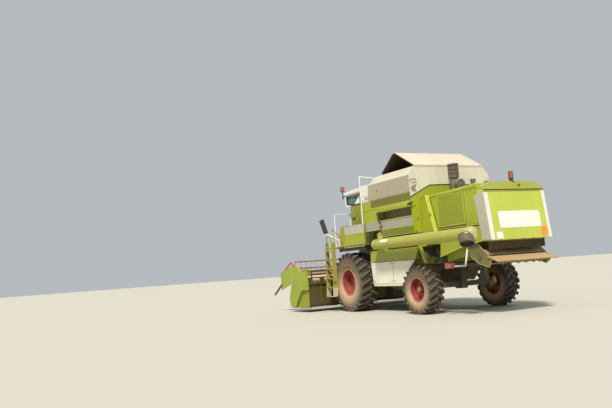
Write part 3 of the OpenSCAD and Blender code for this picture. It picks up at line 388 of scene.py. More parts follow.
red = coat("deep_red_coat", "red_paint", DEEP_RED, DEEP_RED_FADED, BARE_RIM, settled=0.2, splashed=0.2, film=0.12)
hub_grease = coat("hub_grease", "red_paint", (92, 70, 44), (120, 98, 60), (60, 48, 38), film=0.3)
for pair, wheel in WHEELS.items():
    x, y, z = wheel["middle"]
    for hand, out in HANDS:
        name = pair + "_" + hand
        rubber, tree, shader = new_finish("rubber_" + name, "tyre")
        middle, barrel = place(x, 0, z), wheel["barrel"] / 1000
        lugs = {"root": wheel["lug_root"] / 1000, "crown": wheel["lug_crown"] / 1000}
        dirt = use_group(tree, lug_dirt_and_wall_light, middle=middle, **lugs)
        crown_dust, wall_dust_and_light = dirt.outputs["Crown dust"], dirt.outputs["Wall dust and light"]
        soil = add_node(tree, "ShaderNodeTexNoise", [("Scale", 34.0), ("Detail", 6.0)]).outputs["Fac"]
        base = blend_colours(tree, soil, tint(30, 28, 25), tint(66, 58, 48))
        crowns = blend_colours(tree, math_node(tree, "MULTIPLY", crown_dust, 0.45), base, tint(146, 130, 108))
        # The pale wall colour is dust, and painted sunlight on the lower half of the wall.
        walls = blend_colours(tree, math_node(tree, "MULTIPLY", wall_dust_and_light, 0.85), crowns, tint(206, 178, 142))
        most = math_node(tree, "MAXIMUM", crown_dust, wall_dust_and_light)
        set_look(tree, shader, walls, between(tree, most, 0.0, 1.0, 0.62, 0.95), soil, 0.5, 0.006)
        finish_parts(rubber, "tyre_" + name)
        rim_edge = {"middle": middle, "root": barrel, "crown": barrel + 0.03}
        wheel_red = coat("wheel_red_" + name, "red_paint", DEEP_RED, DEEP_RED_FADED, BARE_RIM, "rim_" + name,
                         settled=0.0, splashed=0.0, film=0.14, dust=(214, 176, 148), reach=0.01,
                         layers=[(lug_dirt_and_wall_light, rim_edge, (226, 176, 146), (236, 196, 168))])
        circle = [math.tau * k / wheel["nuts"] for k in range(wheel["nuts"])]
        spots = [(x + wheel["nut_circle"] * math.cos(t), out * (y + wheel["nut_seat"]),
                  z + wheel["nut_circle"] * math.sin(t)) for t in circle]
        bolt_heads(spots, (0, out, 0), 36)
        new_piece("wheel_nuts_" + name, hub_grease, "wheel_" + name)
        lathe((x, out * y, z), (0, out, 0), wheel["cap"])
        new_piece("hub_cap_" + name, wheel_red if pair == "front" else hub_grease, "wheel_" + name)

# Threshing housing: welded sheet in lime paint between the wheels, with a wide strip over the side shields.
# The strip's upper and lower edges are folded out and painted a lighter lime as their highlight, and its sheets
# meet under narrow cover strips.
LEFT, UP, REARWARD = (0, 1, 0), (0, 0, 1), (-1, 0, 0)
LIME, LIME_FADED, PRIMER = (148, 158, 18), (168, 176, 50), (120, 105, 85)
HOUSING_SIDE = 1300
lime = coat("lime_coat", "lime_paint", LIME, LIME_FADED, PRIMER, "rear_body feeder_house reel_arms", splashed=0.35,
            film=0.05, streaks=0.2)
# A lighter lime that paints the highlight on folded edges and lips.
lime_highlight = coat("lime_highlight_coat", "lime_paint", (186, 194, 60), (202, 206, 92), PRIMER, splashed=0.3,
                   film=0.06)
# Below 1.312 m the housing is painted near black as the shade beneath the machine.
coat("housing_coat", "lime_paint", LIME, LIME_FADED, PRIMER, "threshing_body", splashed=0.45,
     layers=[band(0.5, 1.312, (30, 27, 18), (48, 43, 30))])
rubber_black = coat("black_rubber", "black_plastic", (20, 19, 18), (36, 34, 31), (50, 46, 42), settled=0.5,
                    splashed=0.3, film=0.12, gloss=0.75, wave=0.2)


def prism(outline, axis, start, end):
    """A flat outline in mm made solid along "x" (given in y and z), "y" (in x and z) or "z" (in x and y)."""
    order = {"x": lambda a, b, c: place(c, a, b), "y": lambda a, b, c: place(a, c, b), "z": place}[axis]
    near = [shapes.verts.new(order(a, b, start)) for a, b in outline]
    far = [shapes.verts.new(order(a, b, end)) for a, b in outline]
    shapes.faces.new(near)
    shapes.faces.new(far[::-1])
    for i in range(len(outline)):
        shapes.faces.new((near[i - 1], near[i], far[i], far[i - 1]))


def block(low, high):
    """A square bar or plate between two opposite corners."""
    prism([(low[0], low[2]), (high[0], low[2]), (high[0], high[2]), (low[0], high[2])], "y", low[1], high[1])


def strip(start, end, width, y0, y1):
    """A flat strip between two points in x and z, width mm wide to its left, from y0 to y1."""
    run = Vector(end) - Vector(start)
    side = Vector((-run.y, run.x)).normalized() * width
    prism([start, end, tuple(Vector(end) + side), tuple(Vector(start) + side)], "y", y0, y1)


block((-3428, HOUSING_SIDE, 1772), (-1046, HOUSING_SIDE + 10, 1790))
block((-3290, HOUSING_SIDE, 1481), (-1006, HOUSING_SIDE + 8, 1494))
new_piece("strip_lips", lime_highlight, bevel=3, both=True)
for x in (-2158, -3010, -1560):
    block((x, HOUSING_SIDE, 1496), (x + 30, HOUSING_SIDE + 3, 1770))
new_piece("strip_seams", lime, bevel=1, both=True)
bolt_heads([(x, HOUSING_SIDE, z) for x in (-3360, -2980, -2200, -2090, -1500, -1100) for z in (1530, 1740)],
           LEFT, 18)
new_piece("strip_bolts", steel, both=True)

# Steering knuckles: yellow-green castings whose rear arm ends in a boss; each turns with its wheel.
for hand, out in HANDS:
    for z in (690, 742):
        prism([(-3470, out * 1094), (-3560, out * 1100), (-3800, out * 975), (-3850, out * 930),
               (-3836, out * 872), (-3770, out * 876), (-3540, out * 1006), (-3470, out * 1010)], "z", z, z + 18)
    lathe((-3808, out * 918, 664), UP, [(0, 0), (46, 0), (52, 8), (52, 140), (46, 148), (22, 150),
                                               (22, 186), (0, 186)], 24)
    lathe((-3500, out * 1050, 796), UP, [(0, 0), (66, 0), (66, 18), (44, 30), (0, 32)], 24)
    bolt_heads([(-3808, out * 918, 850)], UP, 30)
    new_piece("knuckle_arm_" + hand, yellow_green, "knuckle_" + hand, 3)

# Side shields: pale sheet, folded in below, hung on their upper edges and held shut by quarter-turn latches.
# A fold stiffens each along its rear and lower edge; a dark joint shows under the hinges and between two sheets.
GREY, GREY_FADED = (184, 184, 168), (172, 170, 150)
SHIELD_FACE = 1296
grey = coat("grey_coat", "grey_paint", GREY, GREY_FADED, (110, 105, 95), "header_auger", splashed=0.45)
pale = coat("shield_coat", "grey_paint", (238, 235, 220), (226, 220, 196), (140, 134, 118),
            "shield_left shield_right", splashed=0.12, film=0.05, settled=0.3)
for hand, out in HANDS:
    face = out * SHIELD_FACE
    block((-2640, face, 838), (-1072, face + out * 5, 850))
    strip((-3226, 1456), (-2914, 1180), 12, face, face + out * 4)
    strip((-2914, 1180), (-2640, 846), 12, face, face + out * 4)
    new_piece("shield_folds_" + hand, pale, "shield_" + hand, 2)
    for x, z in ((-1150, 1392), (-2060, 1392), (-2220, 1392), (-3080, 1392), (-1160, 900), (-2060, 900),
                 (-2220, 900)):
        lathe((x, face, z), (0, out, 0), [(0, 0), (21, 0), (21, 3), (15, 6), (0, 6)], 20)
        block((x - 12, face + out * 6, z - 2), (x + 12, face + out * 11, z + 2))
    new_piece("shield_latches_" + hand, steel, "shield_" + hand)
    for x0, x1 in ((-3190, -3022), (-2978, -2122), (-2078, -1222), (-1178, -1100)):
        block((x0, face, 1449), (x1, face + out * 2, 1461))
    block((-2144, face, 850), (-2137, face + out * 2, 1449))
    new_piece("shield_joints_" + hand, rubber_black, "shield_" + hand)

# Rear housing: flat lime sheets over the straw walkers, with a stepped panel that closes the tank's rear corner.
# Edges are folded out and painted a lighter lime as their highlight; a belt drive shows in the open recess above
# the rear wheel.
REAR_SIDE, PANEL_SIDE = 1000, 1120
strip((-3703, 3152), (-3963, 2132), 16, PANEL_SIDE - 24, PANEL_SIDE + 6)
strip((-3978, 1486), (-4905, 1701), 20, REAR_SIDE, REAR_SIDE + 24)
strip((-4905, 1701), (-5655, 1801), 20, REAR_SIDE, REAR_SIDE + 18)
strip((-3703, 3152), (-3963, 2132), -6, REAR_SIDE + 2, PANEL_SIDE + 2)
block((-5572, REAR_SIDE, 2186), (-3962, REAR_SIDE + 14, 2200))
block((-5162, REAR_SIDE, 2206), (-5152, REAR_SIDE + 10, 3084))
new_piece("housing_lips", lime_highlight, bevel=3, both=True)
prism([(-3725, 3084), (-3750, 3084), (-4010, 2206), (-3985, 2206)], "y", REAR_SIDE, REAR_SIDE + 3)
block((-5570, REAR_SIDE, 2158), (-3966, REAR_SIDE + 4, 2185))
block((-3990, 780, 1322), (-3436, 786, 1816))
block((-3440, 786, 1500), (-3436, 1290, 1780))
new_piece("housing_shadows", rubber_black, both=True)
sheet_bolts = [(-5530, 2225), (-5400, 2225), (-5220, 2225), (-5560, 3070), (-5380, 3070), (-5200, 3070)]
panel_bolts = [(-3480, 3090), (-3660, 3090), (-3480, 2200), (-3900, 2200), (-3480, 2650)]
for side, bolts in ((REAR_SIDE, sheet_bolts), (PANEL_SIDE, panel_bolts)):
    bolt_heads([(x, side, z) for x, z in bolts], LEFT, 20)
new_piece("housing_bolts", steel, both=True)
prism([(-3856, 2584), (-3850, 2644), (-3880, 2650), (-3888, 2590)], "y", PANEL_SIDE + 6, PANEL_SIDE + 20)
lathe((-3868, PANEL_SIDE + 20, 2617), LEFT, collar(0, 13, 12), 12)
new_piece("panel_catches", steel, bevel=2, both=True)
prism([(1123, 2172), (1390, 2172), (1390, 3070), (1123, 2800)], "x", -3440, -3434)
new_piece("corner_plates", lime, bevel=2, both=True)
for y, z in ((1214, 2540), (1311, 2210), (1300, 2900)):
    lathe((-3440, y, z), REARWARD, collar(0, 20, 3), 16)
new_piece("corner_plate_holes", rubber_black, both=True)
PULLEYS = (-3690, 1640, 118), (-3560, 1440, 62)
for x, z, r in PULLEYS:
    lathe((x, 786, z), LEFT, [(0, 0), (r, 0), (r, 10), (r - 12, 18), (r, 26), (r, 36), (r * 0.75, 36),
                                   (r * 0.7, 18), (34, 18), (34, 44), (0, 44)])
new_piece("recess_pulleys", steel, bevel=1)


def pipe(points, radius, sides=10, loop=False):
    """Round bar through points in mm, mitred at its bends and closed at both ends, or a closed loop."""
    path = [place(*p) for p in points]
    last = len(path) - 1
    rings, side = [], None
    for i, spot in enumerate(path):
        before = (spot - path[i - 1]).normalized() if i or loop else None
        after = (path[(i + 1) % len(path)] - spot).normalized() if i < last or loop else None
        before, after = before or after, after or before
        ahead = (before + after).normalized()
        side = side or ahead.orthogonal()
        side = (side - ahead * side.dot(ahead)).normalized()
        up = ahead.cross(side)
        bend = (after - before).normalized()
        ring = []
        for k in range(sides):
            turn = math.tau * k / sides
            reach = (side * math.cos(turn) + up * math.sin(turn)) * radius / 1000
            reach += bend * reach.dot(bend) * (1 / max(0.6, ahead.dot(after)) - 1)
            ring.append(shapes.verts.new(spot + reach))
        rings.append(ring)
    if loop:
        rings.append(rings[0])
    else:
        shapes.faces.new(rings[0])
        shapes.faces.new(rings[-1][::-1])
    for near, far in zip(rings, rings[1:]):
        for k in range(sides):
            shapes.faces.new((near[k], near[(k + 1) % sides], far[(k + 1) % sides], far[k]))


# The housing's rounded upper edges, painted in the lighter lime as their highlight.
pipe([(-3720, 990, 3134), (-4500, 990, 3134), (-5566, 990, 3184)], 24, 12)
new_piece("housing_upper_edges", lime_highlight, both=True)
belt = []
for (x, z, r), turns in zip(PULLEYS, (range(-20, 170, 15), range(185, 330, 20))):
    belt += [(x + (r + 2) * math.cos(math.radians(a)), 806, z + (r + 2) * math.sin(math.radians(a))) for a in turns]
pipe(belt, 9, 6, loop=True)
new_piece("recess_belt", rubber_black)

# Engine doors: one sheet with folded edges on each side, hung on an upright rod at the rear edge.
# Two latches in chamfered housings hold the front edge.
coat("door_coat", "lime_paint", (132, 142, 12), (150, 156, 40), PRIMER, "side_door_left side_door_right",
     splashed=0.2, film=0.04)
for hand, out, front in (("left", 1, -4060), ("right", -1, -4640)):
    y0, y1, y2 = out * 1030, out * 1036, out * 1038
    # The door's folded edges are painted in the lighter lime as their highlight.
    block((-5116, y0, 2250), (-5100, y1, 3060))
    block((front - 24, y0, 2250), (front - 8, y1, 3060))
    block((-5100, y0, 2250), (front - 24, y1, 2266))
    block((-5100, y0, 3044), (front - 24, y1, 3060))
    new_piece("engine_door_folds_" + hand, lime_highlight, "side_door_" + hand, 2)
    for z in (2420, 2860):
        prism([(front - 92, z), (front - 50, z), (front - 44, z + 6), (front - 44, z + 54), (front - 50, z + 60),
               (front - 92, z + 60), (front - 98, z + 54), (front - 98, z + 6)], "y", y0, y2)
        block((front - 82, y2, z + 14), (front - 60, out * 1046, z + 46))
    new_piece("engine_door_latches_" + hand, lime, "side_door_" + hand, 2)

# Engine deck: a ribbed pre-cleaner on its pipe, the air drum with its clamps and the short exhaust, all grey-brown
# with dust. The radiator's wire screen sits on the right; the deck is sheet steel with a raised grip pattern.
plastic = coat("matt_plastic", "black_plastic", (30, 28, 26), (46, 43, 39), (60, 56, 52), settled=0.6,
               splashed=0.4, film=0.16, gloss=0.55, wave=0.2, parts="steering_column auger_spout radiator_screen")
PIPE_FOOT, BOWL_FOOT, EXHAUST_FOOT = (-3800, 165, 3140), (-3800, 165, 3590), (-3800, -500, 3140)
BOWL_RIBS = 28
DRUM_Y, DRUM_Z = 110, 3410
smoked = coat("dusty_bowl", "black_plastic", (58, 54, 48), (84, 78, 68), (60, 56, 52), settled=0.6, film=0.3,
              gloss=0.5, wave=0.2, splashed=0.0)
lathe(PIPE_FOOT, UP, [(0, 0), (104, 0), (104, 420), (96, 448), (96, 480), (0, 480)], 32)
lathe(BOWL_FOOT, UP, [(0, 0), (118, 0), (146, 26), (146, 40), (112, 44), (112, 366), (150, 366), (154, 380),
                             (150, 404), (96, 416), (0, 420)], 32)
for k in range(BOWL_RIBS):
    turn = math.tau * k / BOWL_RIBS
    x, y = BOWL_FOOT[0] + 138 * math.cos(turn), BOWL_FOOT[1] + 138 * math.sin(turn)
    pipe([(x, y, 3630), (x, y, 3958)], 7, 6)
for z in (3740, 3850):
    lathe((*BOWL_FOOT[:2], z), UP, collar(134, 150, 10), 32)
lathe((-3880, DRUM_Y, DRUM_Z), REARWARD, collar(0, 142, 140), 36)
lathe(EXHAUST_FOOT, UP, [(0, 0), (70, 0), (70, 400), (52, 420), (0, 420)], 28)
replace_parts(new_piece("pre_cleaner_and_drum", smoked), "intake_exhaust")
for x in (-3900, -3990):
    lathe((x, DRUM_Y, DRUM_Z), REARWARD, collar(142, 148, 14), 32)
lathe((-4010, DRUM_Y, DRUM_Z), REARWARD, [(0, 0), (120, 0), (112, 12), (40, 16), (36, 34), (0, 34)], 32)
lathe((*EXHAUST_FOOT[:2], 3540), UP, collar(58, 76, 34), 24)
new_piece("air_drum_clamps", steel, bevel=1)
for z in range(2340, 3040, 36):
    pipe([(-4600, -1064, z), (-4000, -1064, z)], 4, 6)
for x in range(-4590, -3990, 36):
    pipe([(x, -1067, 2320), (x, -1067, 3030)], 4, 6)
for x0, x1, z0, z1 in ((-4622, -4600, 2298, 3052), (-4000, -3978, 2298, 3052), (-4600, -4000, 2298, 2320),
                       (-4600, -4000, 3030, 3052)):
    block((x0, -1074, z0), (x1, -1060, z1))
new_piece("radiator_grid", plastic)
CLEAR_OF_EXHAUST = 118.3
for x in range(-4380, -3500, 90):
    for y in range(-700, 0, 90):
        if math.hypot(x - EXHAUST_FOOT[0], y - EXHAUST_FOOT[1]) > CLEAR_OF_EXHAUST:
            block((x, y, 3140), (x + 52, y + 12, 3144))
            block((x + 20, y + 40, 3140), (x + 32, y + 84, 3144))
block((-4430, -930, 3140), (-4416, 930, 3152))
new_piece("deck_grip", lime)

# Rear hood: one large moulded cover with bevelled upper corners, a seam below its top and pale corner guards.
# It carries a blank white plate, a round orange reflector and a small blank label; its catches stand on top.
coat("hood_coat", "lime_paint", (176, 188, 62), (190, 200, 86), PRIMER, "rear_hood", splashed=0.2, film=0.06,
     layers=[band(3.03, 3.3, (152, 158, 58), (164, 168, 76))])
WHITE, WHITE_FADED, WHITE_CHIPPED = (232, 232, 224), (224, 222, 210), (120, 110, 95)
white = coat("white_coat", "white_paint", WHITE, WHITE_FADED, WHITE_CHIPPED, "cab_roof railings", settled=0.3,
             splashed=0.25, film=0.06)
HOOD_LEAN, HOOD_OUT, HOOD_FOOT = 0.10435, (-0.9946, 0, 0.1037), (-5820, 2920)  # its rear face, in x and z


def hood_rear(z, out=0):
    """Point in x and z on the hood's slanted rear face, out mm off it."""
    return HOOD_FOOT[0] + (z - HOOD_FOOT[1]) * HOOD_LEAN + HOOD_OUT[0] * out, z + HOOD_OUT[2] * out


def rear_plate(z0, z1, y0, y1, thick):
    prism([hood_rear(z0), hood_rear(z1), hood_rear(z1, thick), hood_rear(z0, thick)], "y", y0, y1)


rear_plate(2052, 2468, -703, 653, 6)
new_piece("blank_plate", white, bevel=4)
for x, z in (hood_rear(2080, 6), hood_rear(2440, 6)):
    bolt_heads([(x, y, z) for y in (-670, -25, 620)], HOOD_OUT, 16)
new_piece("plate_rivets", steel)
rear_plate(1800, 1965, 600, 800, 2)
new_piece("blank_label", white, bevel=1)
corner_white = coat("corner_guard_white", "white_paint", (226, 228, 224), (206, 206, 200), (130, 125, 115),
                    settled=0.3, splashed=0.2, film=0.06)
rear_plate(1790, 2935, 872, 996, 6)
rear_plate(1780, 2960, -996, -898, 6)
new_piece("rear_corner_guards", corner_white, bevel=3)
# The guards' side-facing parts are painted grey as shade; they are the same white guards as at the rear.
for out, top_z in ((1, 2935), (-1, 2960)):
    prism([(-5500, 2916), (-5480, 2890), (-5634, 1818), (-5640, 1800), hood_rear(1792), hood_rear(top_z)],
          "y", out * 990, out * 1006)
new_piece("side_corner_guards", grey, bevel=2)
for y in (-700, -350, 0, 350, 700):
    rear_plate(1772, 1784, y - 20, y + 20, 10)
rear_plate(2996, 3018, -988, 988, 4)
rear_plate(2962, 2971, -860, 986, 3)
new_piece("hood_seam", rubber_black)
# The hood's upper and lower lips are painted in the lighter lime as their highlight.
rear_plate(3020, 3036, -988, 988, 12)
rear_plate(1770, 1786, -988, 988, 8)
new_piece("hood_lips", lime_highlight, bevel=4)
reflector = coat("orange_reflector", "beacon_plastic", (240, 140, 20), (236, 150, 50), (180, 120, 60), settled=0.1,
                 splashed=0.05, film=0.06, gloss=0.3, wave=0.0)
disc_x, disc_z = hood_rear(1935)
lathe((disc_x, -775, disc_z), HOOD_OUT, [(0, 0), (122, 0), (122, 6), (114, 9), (108, 6), (0, 6)], 40)
new_piece("round_reflector", reflector)
block((-5660, 600, 3214), (-5560, 720, 3236))
pipe([(-5610, 660, 3230), (-5610, 660, 3310)], 5, 6)
block((-5600, -420, 3214), (-5540, -340, 3232))
block((-5828, -198, 3096), (-5796, -170, 3140))
bolt_heads([(-5640, 0, 3216), (-5640, 400, 3216)], UP, 18)
new_piece("hood_catches", rubber_black, bevel=2)

# Straw chopper: slender side arms, a rotor with swinging knives, and an apron of thick rubber over its throat.
# All of it is coated with straw dust, the spreading plate most of all.
outboard, given, result = new_group("Outboard of", [("From", "Float", 0.0)], [("Mask", "Float")])
across = along(outboard, surface(outboard, "Object"), "Y")
across = add_node(outboard, "ShaderNodeMath", [(0, across)], operation="ABSOLUTE").outputs[0]
outboard.links.new(math_node(outboard, "GREATER_THAN", across, given.outputs["From"]), result.inputs["Mask"])


def beyond(side, paint, faded):
    """A layer of other paint more than side m from the machine's middle."""
    return outboard, {"from": side}, paint, faded


coat("chopper_coat", "lime_paint", (92, 80, 50), (120, 104, 72), RUSTY_STEEL, "chopper_housing", film=0.16,
     layers=[beyond(0.9265, (84, 86, 12), (102, 100, 30))])
coat("dusted_plate", "lime_paint", (150, 128, 84), (124, 112, 56), RUSTY_STEEL, "deflector", settled=0.7, film=0.3,
     dust=(176, 148, 106))
ARM_SIDE = 950
arm_bolts = [(-5120, 1640), (-5340, 1640), (-5560, 1520), (-5200, 1440), (-5420, 1270), (-5690, 1200)]
bolt_heads([(x, ARM_SIDE, z) for x, z in arm_bolts], LEFT, 24)
lathe((-5450, 975, 1410), LEFT, [(0, 0), (58, 0), (58, 10), (34, 18), (0, 20)])
new_piece("chopper_bolts", steel, both=True)
# The arms' folded edges are painted in the lighter yellow-green as their highlight.
arm_edge = [(-5380, 1760), (-5551, 1572), (-5848, 1335), (-5724, 1130), (-5371, 1235), (-5117, 1415)]
for start, end in zip(arm_edge, arm_edge[1:]):
    strip(start, end, 12, ARM_SIDE, ARM_SIDE + 12)
new_piece("chopper_arm_fold_highlights", yellow_green, bevel=2, both=True)
apron = coat("rubber_apron", "black_plastic", (46, 42, 26), (78, 70, 44), (50, 44, 34), settled=0.2, splashed=0.4,
             film=0.25, gloss=0.8, dust=(110, 96, 62))
FLAPS, FLAP_WIDTH = 10, 185
for k in range(FLAPS):
    y = -925 + k * FLAP_WIDTH
    hem = 1566 + 12 * math.sin(k * 2.1)
    prism([(y + 2, 1766), (y + 183, 1766), (y + 183, hem), (y + 150, hem - 8), (y + 30, hem - 5), (y + 2, hem)],
          "x", -5752, -5742)
new_piece("rubber_apron", apron, bevel=2)
block((-5758, -925, 1748), (-5736, 925, 1776))
bolt_heads([(-5758, -850 + 170 * k, 1762) for k in range(11)], REARWARD, 18)
new_piece("apron_clamp", steel, bevel=1)

# Grain tank: welded cream sheet with sloped upper edges, its two covers raised and leaning together.
# A beige panel fills each side over a lime band and a rounded ledge; a lime apron with black trim closes the rear.
TANK_SIDE, CREAM_CHIPPED = 1414, (150, 140, 115)
cream = coat("cream_coat", "cream_paint", (216, 212, 192), (202, 192, 166), CREAM_CHIPPED, "grain_tank",
             settled=0.25, splashed=0.3, film=0.07, streaks=0.45)
# Faces of the raised covers that turn downward are painted dark brown as their shade.
underside_shade, given, result = new_group("Underside", [("From", "Float", -0.2)], [("Mask", "Float")])
facing_up = along(underside_shade, surface(underside_shade, "Normal"), "Z")
underside_shade.links.new(math_node(underside_shade, "LESS_THAN", facing_up, given.outputs["From"]), result.inputs["Mask"])
covers = coat("cover_coat", "cream_paint", (216, 209, 188), (206, 196, 170), CREAM_CHIPPED,
              "cover_front cover_rear", settled=0.2, film=0.06, splashed=0.0,
              layers=[(underside_shade, {}, (72, 58, 42), (96, 80, 58))])
beige = coat("beige_coat", "cream_paint", (166, 156, 132), (174, 164, 142), (120, 110, 90), settled=0.3,
             splashed=0.2)
coat("striped_side_coat", "lime_paint", LIME, LIME_FADED, PRIMER, "tank_panels", splashed=0.2, film=0.05,
     layers=[band(2.0, 2.380, (110, 120, 12), (126, 132, 34)),
             band(2.395, 2.640, (158, 158, 142), (150, 148, 128))])
prism([(-1310, 3286), (-3440, 3296), (-3434, 3758), (-1378, 3758)], "y", TANK_SIDE, TANK_SIDE + 6)
new_piece("tank_side_panels", beige, bevel=4, both=True)
for z in (3320, 3730):
    bolt_heads([(x, TANK_SIDE + 6, z) for x in (-1430, -1930, -2430, -2930, -3400)], LEFT, 14)
lathe((-1830, TANK_SIDE + 6, 3525), LEFT, [(0, 0), (24, 0), (24, 8), (16, 14), (0, 14)], 20)
new_piece("side_panel_screws", steel, both=True)
# A darker lime band below each beige panel.
block((-3442, TANK_SIDE, 3078), (-1440, TANK_SIDE + 4, 3284))
darker_lime = coat("darker_lime_coat", "lime_paint", (104, 100, 14), (122, 116, 36), PRIMER, film=0.05)
new_piece("tank_side_bands", darker_lime, bevel=2, both=True)
prism([(1414, 3062), (1432, 3056), (1442, 3040), (1444, 2916), (1436, 2896), (1414, 2887)], "x", -3436, -1752)
new_piece("tank_ledges", lime, bevel=4, both=True)
# Edge lips along the tank side, painted in the lighter lime as their highlight.
block((-1640, TANK_SIDE, 3030), (-975, TANK_SIDE + 14, 3048))
block((-3440, TANK_SIDE, 2172), (-1916, TANK_SIDE + 10, 2186))
block((-3440, TANK_SIDE, 2632), (-1710, TANK_SIDE + 14, 2650))
block((-3440, TANK_SIDE, 2372), (-1910, TANK_SIDE + 5, 2384))
block((-1905, TANK_SIDE, 2392), (-976, TANK_SIDE + 8, 2404))
new_piece("side_edge_lips", lime_highlight, bevel=3, both=True)
# Olive-brown sheets inside the recess under each ledge are painted shade.
block((-3432, 1180, 2642), (-1712, 1186, 2900))
block((-3432, 1186, 2884), (-1750, 1392, 2890))
recess_shade_brown = coat("recess_shade_coat", "lime_paint", (104, 94, 44), (128, 112, 66), RUSTY_STEEL, film=0.2)
new_piece("recess_shade_sheets", recess_shade_brown, both=True)
prism([(-1722, 2880), (-1770, 2880), (-1960, 2452), (-1900, 2432)], "y", TANK_SIDE, TANK_SIDE + 26)
new_piece("side_struts", dark, bevel=4, both=True)
amber_small = coat("amber_lens", "beacon_plastic", (196, 84, 52), (190, 110, 84), (140, 80, 50), settled=0.2,
                   splashed=0.1, film=0.12, gloss=0.28, wave=0.0)
prism([(-1868, 2446), (-1936, 2446), (-1944, 2456), (-1944, 2546), (-1936, 2556), (-1868, 2556), (-1860, 2546),
       (-1860, 2456)], "y", TANK_SIDE + 26, TANK_SIDE + 48)
new_piece("side_marker_lamps", amber_small, bevel=5, both=True)
apron_edge = [(1414, 3150), (1180, 3262), (960, 3368), (730, 3470), (400, 3480), (0, 3482)]
prism(apron_edge + [(0, 3142), (1000, 3142), (1124, 2802), (1414, 3082)], "x", -3440, -3434)
new_piece("tank_rear_apron", lime, bevel=2, both=True)
pipe([(-3444, y, z) for y, z in apron_edge] + [(-3444, -y, z) for y, z in apron_edge[-2::-1]], 12, 8)
new_piece("apron_trim", rubber_black)
for y in (-1408, 1408):
    block((-3440, y - 6, 3280), (-3430, y + 6, 3756))
for y in (-700, 0, 700):
    block((-3437, y - 2, 3486), (-3434, y + 2, 3996))
block((-3442, -1212, 3984), (-3434, 1212, 4002))
new_piece("tank_rear_seams", cream, bevel=2)
pipe([(-3434, 1392, 3600), (-3474, 1392, 3606), (-3490, 1370, 3622), (-3492, 1240, 3628), (-3492, 1222, 3612),
      (-3492, 1222, 3560)], 10, 8)
pipe([(-3434, 1300, 3440), (-3480, 1300, 3446)], 14, 8)
new_piece("work_lamp_hook", rubber_black)
lathe((-3476, 1318, 3440), (-0.8, 0.1, -0.5), [(0, -34), (30, -34), (62, -6), (70, 20), (70, 42), (62, 48),
                                               (0, 48)], 24)
new_piece("work_lamp", grey)
for out in (1, -1):
    lathe((-3330, out * 1444, 2966), (-0.93, 0, 0.1), [(0, 0), (24, 0), (24, 70), (34, 76), (34, 190), (26, 200),
                                                       (0, 200)], 18)
new_piece("rear_corner_buffers", rubber_black)
for out in (1, -1):
    lathe((-3330, out * 1444, 2966), (0.93, 0, -0.1), [(0, 0), (18, 0), (18, 40), (10, 46), (0, 46)], 16)
new_piece("buffer_caps", white)
COVERS = {"cover_front": (-1860, -1, 685), "cover_rear": (-3424, 1, 859)}  # hinge, way it leans, run in x
for name, (x, way, run) in COVERS.items():
    foot, ridge = (x - way * 4, 4036), (x + way * run, 4530)
    slope = Vector((ridge[0] - foot[0], ridge[1] - foot[1])).normalized()
    foot = (foot[0] + slope.x * 14, foot[1] + slope.y * 14)
    ridge = (ridge[0] - slope.x * 14, ridge[1] - slope.y * 14)
    for y0, y1 in ((1176, 1212), (-18, 18), (-1212, -1176)):
        strip(foot, ridge, way * 9, y0, y1)
    new_piece(name + "_ribs", covers, name, 3)
    strip((foot[0] + way * 6, foot[1] - 21), (ridge[0], ridge[1] - 22), way * 26, 1214, 1219)
    new_piece(name + "_edge_rubber", rubber_black, name, both=True)

# Unloading auger: a long tube of rolled sheet beside the housing, with a flange at its elbow and a blank pale band.
# Its end is a rounded cap of dusty plastic over a dark rubber sleeve that turns the grain down.
TUBE_Y, TUBE_Z = 1600, 1970
tube_coat = coat("tube_coat", "lime_paint", (162, 162, 50), (180, 178, 84), PRIMER, "unloading_auger")
for x, rim in ((-2030, 168), (-2062, 168), (-3760, 156), (-5560, 156)):
    lathe((x, TUBE_Y, TUBE_Z), REARWARD, [(150, 0), (rim, 0), (rim, 12), (150, 12)], 40)
lathe((-1700, 1250, 2262), UP, collar(165, 178, 14), 40)
new_piece("tube_flanges", tube_coat, "unloader", 1)
bolt_circle = [math.tau * k / 12 for k in range(12)]
bolt_heads([(-2030, TUBE_Y + 160 * math.cos(t), TUBE_Z + 160 * math.sin(t)) for t in bolt_circle], (1, 0, 0), 16)
new_piece("flange_bolts", steel, "unloader")
tube_cap = coat("dusty_cap", "cream_paint", (178, 172, 104), (194, 186, 132), (120, 110, 80), film=0.2)
lathe((-5870, TUBE_Y, TUBE_Z), REARWARD, [(0, 0), (160, 0), (162, 50), (158, 100), (144, 144), (114, 180),
                                            (66, 202), (0, 210)], 40)
lathe((-5925, 1585, 1800), UP, [(0, 0), (138, 0), (150, 16), (153, 90), (153, 170), (0, 170)], 40)
new_piece("tube_end_cap", tube_cap, "unloader")
label_arc = [(152, math.radians(a)) for a in range(14, 47, 4)]
label_arc += [(149, a) for r, a in label_arc[::-1]]
prism([(TUBE_Y + r * math.cos(a), TUBE_Z + r * math.sin(a)) for r, a in label_arc], "x", -2620, -2260)
new_piece("tube_blank_band", white, "unloader")
sleeve_rubber = coat("sleeve_rubber", "black_plastic", (54, 48, 48), (78, 70, 66), (50, 46, 42), settled=0.5,
                     splashed=0.2, film=0.25, gloss=0.7)
mouth, leaning = (-5944, 1745, 1722), (0.345, -0.295, 0.891)
lathe(mouth, leaning, [(0, 239), (150, 239), (190, 222), (189, 150), (181, 70), (175, 10), (171, 0), (163, 4),
                       (166, 80), (170, 90), (0, 98)], 40)
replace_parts(new_piece("spout_sleeve", sleeve_rubber, "unloader"), "auger_spout")
